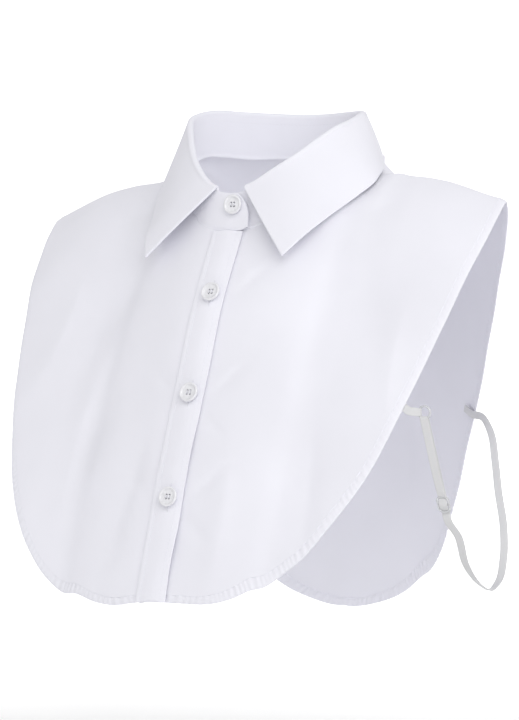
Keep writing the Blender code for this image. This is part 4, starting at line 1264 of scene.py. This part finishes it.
def lathe(profile, sides):
    """A closed turned shape: the profile runs from axis to axis, and each step is carried round."""
    profile = np.asarray(profile)
    turn = np.linspace(0, 2 * math.pi, sides, endpoint=False)
    rings = np.stack([profile[:, :1] * np.cos(turn), profile[:, :1] * np.sin(turn),
                      np.broadcast_to(profile[:, 1:], (len(profile), sides))], -1)
    index = np.arange(len(profile) * sides).reshape(len(profile), sides)
    index = np.concatenate([index, index[:, :1]], axis=1)
    faces = np.stack([index[:-1, :-1], index[:-1, 1:], index[1:, 1:], index[1:, :-1]], -1).reshape(-1, 4)
    return rings.reshape(-1, 3), faces


def button_profile():
    """Underside, rounded rim, bead and dished middle of a shirt button, as smooth steps of radius and height."""
    rows = (
        (0.0, 0.0), (0.30, 0.0), (0.62, 0.02), (0.84, 0.10), (0.94, 0.26), (0.99, 0.48), (1.0, 0.66),
        (0.985, 0.84), (0.95, 0.95), (0.90, 1.0), (0.84, 0.985), (0.79, 0.92), (0.745, 0.80), (0.70, 0.70),
        (0.62, 0.655), (0.50, 0.64), (0.30, 0.64), (0.0, 0.64),
    )
    rows = np.asarray(rows)
    chord = np.concatenate([[0], np.cumsum(np.hypot(*np.diff(rows, axis=0).T))])
    line = through(np.linspace(0, chord[-1], 46), chord, rows)
    line[:, 0] = np.clip(line[:, 0], 0.0, 1.0)
    line[[0, -1], 0] = 0.0
    return line * (BUTTON_RADIUS, BUTTON_THICKNESS)


def drilled(body, drills):
    """A body with its drills cut out, as a plain mesh."""
    for drill in drills:
        cut = body.modifiers.new(drill.name, "BOOLEAN")
        cut.operation = "DIFFERENCE"
        cut.solver = "EXACT"
        cut.object = drill
    graph = bpy.context.evaluated_depsgraph_get()
    mesh = bpy.data.meshes.new_from_object(body.evaluated_get(graph))
    body.modifiers.clear()
    body.data = mesh
    for drill in drills:
        bpy.data.objects.remove(drill, do_unlink=True)
    return body


def bridge(start, end, rise, width, count=9, sides=8):
    """Rings of a thread that arches from start to end, rising along the third axis."""
    share = np.linspace(0, 1, count)[:, None]
    line = start + (end - start) * share
    line[:, 2] = line[:, 2] + rise * np.sin(math.pi * share[:, 0])
    run = unit(np.gradient(line, axis=0))
    side = unit(np.cross(run, (0.0, 0.0, 1.0)))
    top = np.cross(side, run)
    turn = np.linspace(0, 2 * math.pi, sides, endpoint=False)
    round_line = side[:, None] * np.cos(turn)[:, None] + top[:, None] * np.sin(turn)[:, None]
    return line[:, None] + width / 2 * round_line


class SHIRT_OT_buttons(bpy.types.Operator):
    """Make the four-hole buttons, the thread through them and the worked buttonholes"""

    bl_idname = "shirt.buttons"
    bl_label = "Buttons"

    def execute(self, context):
        points, faces = lathe(button_profile(), 64)
        drill_rows = ((0.0, -0.002), (BUTTON_HOLE_RADIUS, -0.002), (BUTTON_HOLE_RADIUS, 0.006), (0.0, 0.006))
        bore, bore_faces = lathe(drill_rows, 20)
        for number, (seat, out, up) in enumerate(button_frames(), 1):
            name = "button_%d_resin" % number
            body = solid_mesh(name, in_frame(points, seat, out, up), faces,
                              points[:, :2], look("pearl_resin"))
            drills = []
            strands = []
            for quarter in range(4):
                turn = math.radians(45 + 90 * quarter)
                centre = np.array([math.cos(turn), math.sin(turn), 0.0]) * BUTTON_HOLE_RING
                drills.append(solid_mesh(name + "_drill_%d" % quarter, in_frame(bore + centre, seat, out, up),
                                         bore_faces, bore[:, :2], look("pearl_resin")))
            keep(drilled(body, drills), "button", "button_%d" % number)
            high = BUTTON_THICKNESS * 0.64
            reach = BUTTON_HOLE_RING * math.sqrt(0.5)
            for side in (-1, 1):
                for nudge in (-0.00018, 0.00018):
                    start = np.array([side * reach + nudge, -reach, high - 0.0004])
                    end = np.array([side * reach + nudge, reach, high - 0.0004])
                    strands.append(bridge(start, end, 0.00085, 0.00036))
            shank = np.stack([np.linspace(0, 0, 5), np.linspace(0, 0, 5), np.linspace(-0.0007, 0.0002, 5)], -1)
            turn = np.linspace(0, 2 * math.pi, 8, endpoint=False)
            tube = shank[:, None] + 0.0011 * np.stack([np.cos(turn), np.sin(turn), 0 * turn], -1)
            strands.append(tube)
            made = [ring_wall("strand", in_frame(rings.reshape(-1, 3), seat, out, up).reshape(rings.shape),
                              np.zeros(rings.shape[:2] + (2,)), look("sewing_thread")) for rings in strands]
            keep(joined("button_%d_thread" % number, made), "cotton")
            if number > 1:
                length = PLACKET_BUTTONS[number - 2] * CM
                self.buttonhole("buttonhole_%d" % number, length)
        return {"FINISHED"}

    def buttonhole(self, name, length):
        """A lying-down slit worked round with close stitches."""
        turn = np.linspace(0, 2 * math.pi, 60)
        x = PLACKET_BUTTON_SIDE + 0.00075 * np.cos(turn)
        place = length + 0.0088 * np.sin(turn)
        top = cloth(x, place, placket_lift(x, place) + bpy.context.scene.shirt_cloth.placket_wall / 2)
        out = drape_out(x, place)
        sew(name, [(top, out)], length=0.0007, width=0.0007, pitch=0.0006)


def joined(name, parts):
    """Several meshes as one object."""
    work = bmesh.new()
    for part in parts:
        work.from_mesh(part.data)
    mesh = bpy.data.meshes.new(name)
    work.to_mesh(mesh)
    work.free()
    mesh.materials.append(parts[0].data.materials[0])
    made = bpy.data.objects.new(name, mesh)
    bpy.context.scene.collection.objects.link(made)
    for part in parts:
        bpy.data.objects.remove(part, do_unlink=True)
    return made


# Straps


def tape(name, line, across, wall, count):
    """A flat tape: a rounded bar carried along a smooth line, its width along the across directions."""
    chord = np.concatenate([[0], np.cumsum(np.linalg.norm(np.diff(line, axis=0), axis=1))])
    place = np.linspace(0, chord[-1], count)
    path = through(place, chord, line)
    wide = through(place, chord, across)
    run = unit(np.gradient(path, axis=0))
    wide = unit(wide - run * np.sum(run * wide, axis=1, keepdims=True))
    flat = np.cross(run, wide)
    turn = np.linspace(0, 2 * math.pi, 20, endpoint=False)
    over = TAPE_WIDTH / 2 * np.sign(np.cos(turn)) * np.abs(np.cos(turn)) ** 0.35
    high = wall / 2 * np.sign(np.sin(turn)) * np.abs(np.sin(turn)) ** 0.35
    rings = path[:, None] + wide[:, None] * over[:, None] + flat[:, None] * high[:, None]
    uv = np.stack(np.broadcast_arrays(place[:, None], over[None]), -1)
    return ring_wall(name, rings, uv, look("satin_elastic")), path, chord[-1]


def wire_loop(name, path, radius, sides=16):
    """A round wire carried along a closed path that lies in one plane."""
    run = unit(np.roll(path, -1, axis=0) - np.roll(path, 1, axis=0))
    square = unit(np.cross(path[0] - path.mean(axis=0), run[0]))
    side = np.cross(run, square)
    turn = np.linspace(0, 2 * math.pi, sides, endpoint=False)
    rings = path[:, None] + radius * (side[:, None] * np.cos(turn)[:, None] + square * np.sin(turn)[:, None])
    return ring_wall(name, rings, np.zeros(rings.shape[:2] + (2,)), look("hazy_plastic"), closed=True)


class SHIRT_OT_straps(bpy.types.Operator):
    """Make both elastic side straps with ring and slider"""

    bl_idname = "shirt.straps"
    bl_label = "Side straps"

    def execute(self, context):
        for word, side in (("left", 1.0), ("right", -1.0)):
            self.strap(word, side, context.scene.shirt_trim.tape_wall)
        return {"FINISHED"}

    def strap(self, word, side, wall):
        mirror = np.array([side, 1.0, 1.0])
        across = unit(np.array(STRAP_ACROSS) * mirror)
        inward = np.array([0.0 if side > 0 else RIGHT_STRAP_IN, 0.0, 0.0])

        def placed(rows):
            return (np.asarray(rows, float) - inward) * CM * mirror

        def sewn(rows):
            rows = (np.asarray(rows, float) - inward[:2]) * CM
            x = rows[:, 0] * side
            small = SLOPE_STEP * np.sign(rows[:, 1])
            up = unit(drape_plain(x, rows[:, 1] - small) - drape_plain(x, rows[:, 1] + small))
            return drape(x, rows[:, 1], -SEWN_INSIDE), up

        ring = placed(RING_CENTRE)
        slider = placed(SLIDER_CENTRE)
        turn = np.linspace(0, 2 * math.pi, 64, endpoint=False)
        circle = ring + RING_RADIUS * np.stack([np.cos(turn), 0 * turn, np.sin(turn)], -1)
        hoop = keep(wire_loop("strap_ring_%s_plastic" % word, circle, RING_WIRE), "clear",
                    "strap_ring_" + word)

        bottom = ring - np.array([0.0, 0.0, 1.0]) * RING_RADIUS
        down = unit(slider - bottom)
        front = unit(np.cross(across, down) * side)
        front = front * (-1.0 if front[1] > 0 else 1.0)
        gap = RING_WIRE + wall / 2 + 0.0001
        figure = self.slider(word, slider, down, across, front)

        lean = slider - down * (SLIDER_HEIGHT / 2 + 0.0012)
        near = np.array([
            bottom + front * gap - down * 0.0002,
            bottom + front * gap + down * 0.006,
            lean + front * 0.0010 - down * 0.006,
            lean + front * 0.0002,
            slider - down * SLIDER_HEIGHT * 0.42 - front * 0.0006,
            slider - down * SLIDER_HEIGHT * 0.22 + front * 0.0003,
            slider + front * 0.0016,
            slider + down * SLIDER_HEIGHT * 0.24 + front * 0.0003,
            slider + down * SLIDER_HEIGHT * 0.46 - front * 0.0013,
            slider + down * (SLIDER_HEIGHT / 2 + 0.003) - front * 0.0007,
        ])
        seat, up = sewn(LOOP_SEWN)
        line = np.concatenate([near, placed(LOOP_ROUTE), seat])
        rows = len(line) - 2
        twist = smooth_step(np.arange(rows), rows - LOOP_TURNS_OVER, rows)[:, None]
        turn = np.radians(np.concatenate([np.zeros(len(near)), LOOP_TURN]))[:, None]
        ahead = np.array([-across[1], across[0], 0.0]) * side
        spun = across * np.cos(turn) + ahead * np.sin(turn)
        wide = np.concatenate([spun * (1 - twist) + up[0] * twist * side, up * side])
        main, path, total = tape("strap_tape_" + word, line[::-1], wide[::-1], wall, 240)
        keep(main, "elastic", "strap_loop_" + word, "strap_doubled_" + word)

        arc = np.radians(np.linspace(90, 270, 9))
        over = bottom + gap * (np.sin(arc)[:, None] * front + np.cos(arc)[:, None] * down)
        back = np.concatenate([
            [bottom + front * gap + down * 0.0001],
            over[1:-1],
            [bottom - front * gap + down * 0.0005, bottom - front * gap + down * 0.008,
             lean - front * 0.0014 - down * 0.008, lean - front * 0.0014,
             slider - down * SLIDER_HEIGHT * 0.30 - front * 0.0017],
        ])
        turned, _, _ = tape("strap_return_" + word, back, np.tile(across, (len(back), 1)), wall, 90)
        keep(turned, "elastic")

        seat, up = sewn(TAB_SEWN)
        middle = placed(TAB_MIDDLE)
        wire = ring - np.array([side, 0.0, 0.0]) * RING_RADIUS
        approach = unit(wire - middle)
        upright = np.array([0.0, 0.0, 1.0])
        face = unit(np.cross(approach, upright))
        face = face * (-1.0 if face[1] > 0 else 1.0)
        arc = np.radians(np.linspace(0, 180, 9))[:, None]
        round_wire = wire + gap * (np.cos(arc) * face + np.sin(arc) * approach)
        layer = wall / 2 + 0.00005
        line = np.concatenate([
            [seat[0], seat[1] + face * layer * 0.5, middle + face * layer,
             wire - approach * 0.0022 + face * 0.0009],
            round_wire,
            [wire - approach * 0.0022 - face * 0.0009, middle - face * layer],
        ])
        wide = np.concatenate([up, np.tile(upright, (len(line) - 2, 1))])
        tab, _, _ = tape("strap_tab_%s_tape" % word, line, wide, wall, 110)
        keep(tab, "elastic", "strap_tab_" + word)

    def slider(self, word, centre, down, across, front):
        """Two rounded windows side by side: an outer frame and a bar across its middle."""
        turn = np.linspace(0, 2 * math.pi, 72, endpoint=False)
        wire = SLIDER_BAR / 2
        wide = (SLIDER_WIDTH / 2 - wire) * np.sign(np.cos(turn)) * np.abs(np.cos(turn)) ** 0.62
        tall = (SLIDER_HEIGHT / 2 - wire) * np.sign(np.sin(turn)) * np.abs(np.sin(turn)) ** 0.62
        waist = 1 - 0.10 * np.exp(-(tall / 0.0016) ** 2)
        path = centre + across * (wide * waist)[:, None] - down * tall[:, None]
        rim = wire_loop("rim", path, wire)
        share = np.linspace(-1, 1, 15)[:, None]
        bar = centre + across * share * (SLIDER_WIDTH / 2 - wire) * 0.9
        ring = np.linspace(0, 2 * math.pi, 16, endpoint=False)
        rings = bar[:, None] + wire * (down * np.cos(ring)[:, None] + front * np.sin(ring)[:, None])
        rod = ring_wall("rod", rings, np.zeros(rings.shape[:2] + (2,)), look("hazy_plastic"))
        made = joined("strap_slider_%s_plastic" % word, [rim, rod])
        return keep(made, "clear", "strap_slider_" + word)


# Stage


class SHIRT_OT_stage(bpy.types.Operator):
    """Make the pale floor and backdrop, the soft light and the camera"""

    bl_idname = "shirt.stage"
    bl_label = "Stage"

    def execute(self, context):
        stage = context.scene.shirt_stage
        azimuth = math.radians(VIEW_AZIMUTH)
        elevation = math.radians(VIEW_ELEVATION)
        toward = Vector((math.sin(azimuth) * math.cos(elevation), -math.cos(azimuth) * math.cos(elevation),
                         math.sin(elevation)))
        aim = Vector((0.0, 0.0, VIEW_HEIGHT))
        camera = bpy.data.objects.new("camera", bpy.data.cameras.new("camera"))
        context.scene.collection.objects.link(camera)
        camera.location = aim + toward * VIEW_DISTANCE
        camera.rotation_euler = (-toward).to_track_quat("-Z", "Y").to_euler()
        camera.data.lens = VIEW_LENS
        camera.data.sensor_width = 36.0
        camera.data.shift_x = VIEW_SHIFT
        context.scene.camera = camera
        self.sweep(stage, toward)
        self.light("key_light", aim, (0.72, -0.60, 0.58), 1.5, 1.1, stage.key)
        self.light("fill_light", aim, (-0.80, -0.70, 0.35), 1.8, 1.2, stage.fill)
        self.light("side_light", aim, (1.00, -0.32, 0.02), 1.2, 1.0, stage.side)
        context.scene.world = self.sky(stage.sky)
        context.scene.view_settings.view_transform = "Standard"
        return {"FINISHED"}

    def sweep(self, stage, toward):
        """A floor and a wall in one sheet, turned to face the camera: a level run, a quarter round, a rise."""
        turn = np.radians(np.linspace(0, 90, 24))
        run = np.concatenate([np.linspace(-4.0, 2.8, 40), 3.0 + 0.8 * np.sin(turn), [3.8]])
        rise = np.concatenate([np.zeros(40), 0.8 * (1 - np.cos(turn)), [4.5]])
        back = np.array([-toward.x, -toward.y, 0.0])
        back = back / np.linalg.norm(back)
        side = np.array([-back[1], back[0], 0.0])
        across = np.linspace(-4.5, 4.5, 19)
        grid = back * run[:, None, None] + side * across[None, :, None]
        grid[..., 2] = stage.floor + rise[:, None]
        under = grid - np.array([0.0, 0.0, 0.01]) + back * 0.01
        uv = np.stack(np.broadcast_arrays(run[:, None], across[None]), -1)
        closed_wall("studio_sweep", grid, under, uv, self.paper())

    def sky(self, strength):
        """An even white light all round."""
        world = bpy.data.worlds.new("even_light")
        world.use_nodes = True
        light = world.node_tree.nodes["Background"]
        light.inputs["Color"].default_value = (1.0, 1.0, 1.0, 1.0)
        light.inputs["Strength"].default_value = strength
        return world

    def paper(self):
        """Pale paper that glows where it stands behind the shirt: from 0.1 m back, and 0.9 m to each side."""
        made, nodes, links, shader = principled("studio_paper", 0.9)
        shader.inputs["Base Color"].default_value = (0.93, 0.93, 0.93, 1.0)
        shader.inputs["Emission Color"].default_value = (1.0, 1.0, 1.0, 1.0)
        place = nodes.new("ShaderNodeUVMap")
        place.uv_map = "cloth_uv"
        split = nodes.new("ShaderNodeSeparateXYZ")
        links.new(place.outputs["UV"], split.inputs["Vector"])
        back = nodes.new("ShaderNodeMapRange")
        back.inputs["From Min"].default_value = 0.10
        back.inputs["From Max"].default_value = 0.60
        back.inputs["To Min"].default_value = 0.05
        back.inputs["To Max"].default_value = 0.70
        links.new(split.outputs["X"], back.inputs["Value"])
        off = nodes.new("ShaderNodeMath")
        off.operation = "ABSOLUTE"
        links.new(split.outputs["Y"], off.inputs[0])
        aside = nodes.new("ShaderNodeMapRange")
        aside.inputs["From Min"].default_value = 0.90
        aside.inputs["From Max"].default_value = 1.60
        aside.inputs["To Min"].default_value = 1.0
        aside.inputs["To Max"].default_value = 0.0
        links.new(off.outputs["Value"], aside.inputs["Value"])
        glow = nodes.new("ShaderNodeMath")
        glow.operation = "MULTIPLY"
        links.new(back.outputs["Result"], glow.inputs[0])
        links.new(aside.outputs["Result"], glow.inputs[1])
        links.new(glow.outputs["Value"], shader.inputs["Emission Strength"])
        return made

    def light(self, name, aim, direction, width, height, power):
        lamp = bpy.data.lights.new(name, "AREA")
        lamp.shape = "RECTANGLE"
        lamp.size = width
        lamp.size_y = height
        lamp.energy = power
        made = bpy.data.objects.new(name, lamp)
        bpy.context.scene.collection.objects.link(made)
        away = Vector(direction).normalized()
        made.location = aim + away * 1.5
        made.rotation_euler = (-away).to_track_quat("-Z", "Y").to_euler()


class SHIRT_PT_panel(bpy.types.Panel):
    """Buttons for each piece of the shirt collar, with its sizes and colours"""

    bl_label = "Shirt Collar"
    bl_idname = "SHIRT_PT_panel"
    bl_space_type = "VIEW_3D"
    bl_region_type = "UI"
    bl_category = "Shirt Collar"

    def draw(self, context):
        for kind in OPERATORS:
            self.layout.operator(kind.bl_idname)
        for group in (context.scene.shirt_cloth, context.scene.shirt_trim, context.scene.shirt_stage):
            for name in group.bl_rna.properties.keys():
                if name not in ("rna_type", "name"):
                    self.layout.prop(group, name)


OPERATORS = (SHIRT_OT_stage, SHIRT_OT_straps, SHIRT_OT_fronts, SHIRT_OT_back, SHIRT_OT_placket,
             SHIRT_OT_stand, SHIRT_OT_leaf, SHIRT_OT_buttons)
CLASSES = (ClothSettings, TrimSettings, StageSettings, *OPERATORS, SHIRT_PT_panel)


def register():
    for kind in CLASSES:
        bpy.utils.register_class(kind)
    bpy.types.Scene.shirt_cloth = bpy.props.PointerProperty(type=ClothSettings)
    bpy.types.Scene.shirt_trim = bpy.props.PointerProperty(type=TrimSettings)
    bpy.types.Scene.shirt_stage = bpy.props.PointerProperty(type=StageSettings)


def unregister():
    del bpy.types.Scene.shirt_stage
    del bpy.types.Scene.shirt_trim
    del bpy.types.Scene.shirt_cloth
    for kind in reversed(CLASSES):
        bpy.utils.unregister_class(kind)


def main():
    register()
    for kind in OPERATORS:
        group, word = kind.bl_idname.split(".")
        getattr(getattr(bpy.ops, group), word)()
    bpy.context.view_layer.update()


if __name__ == "__main__":
    main()
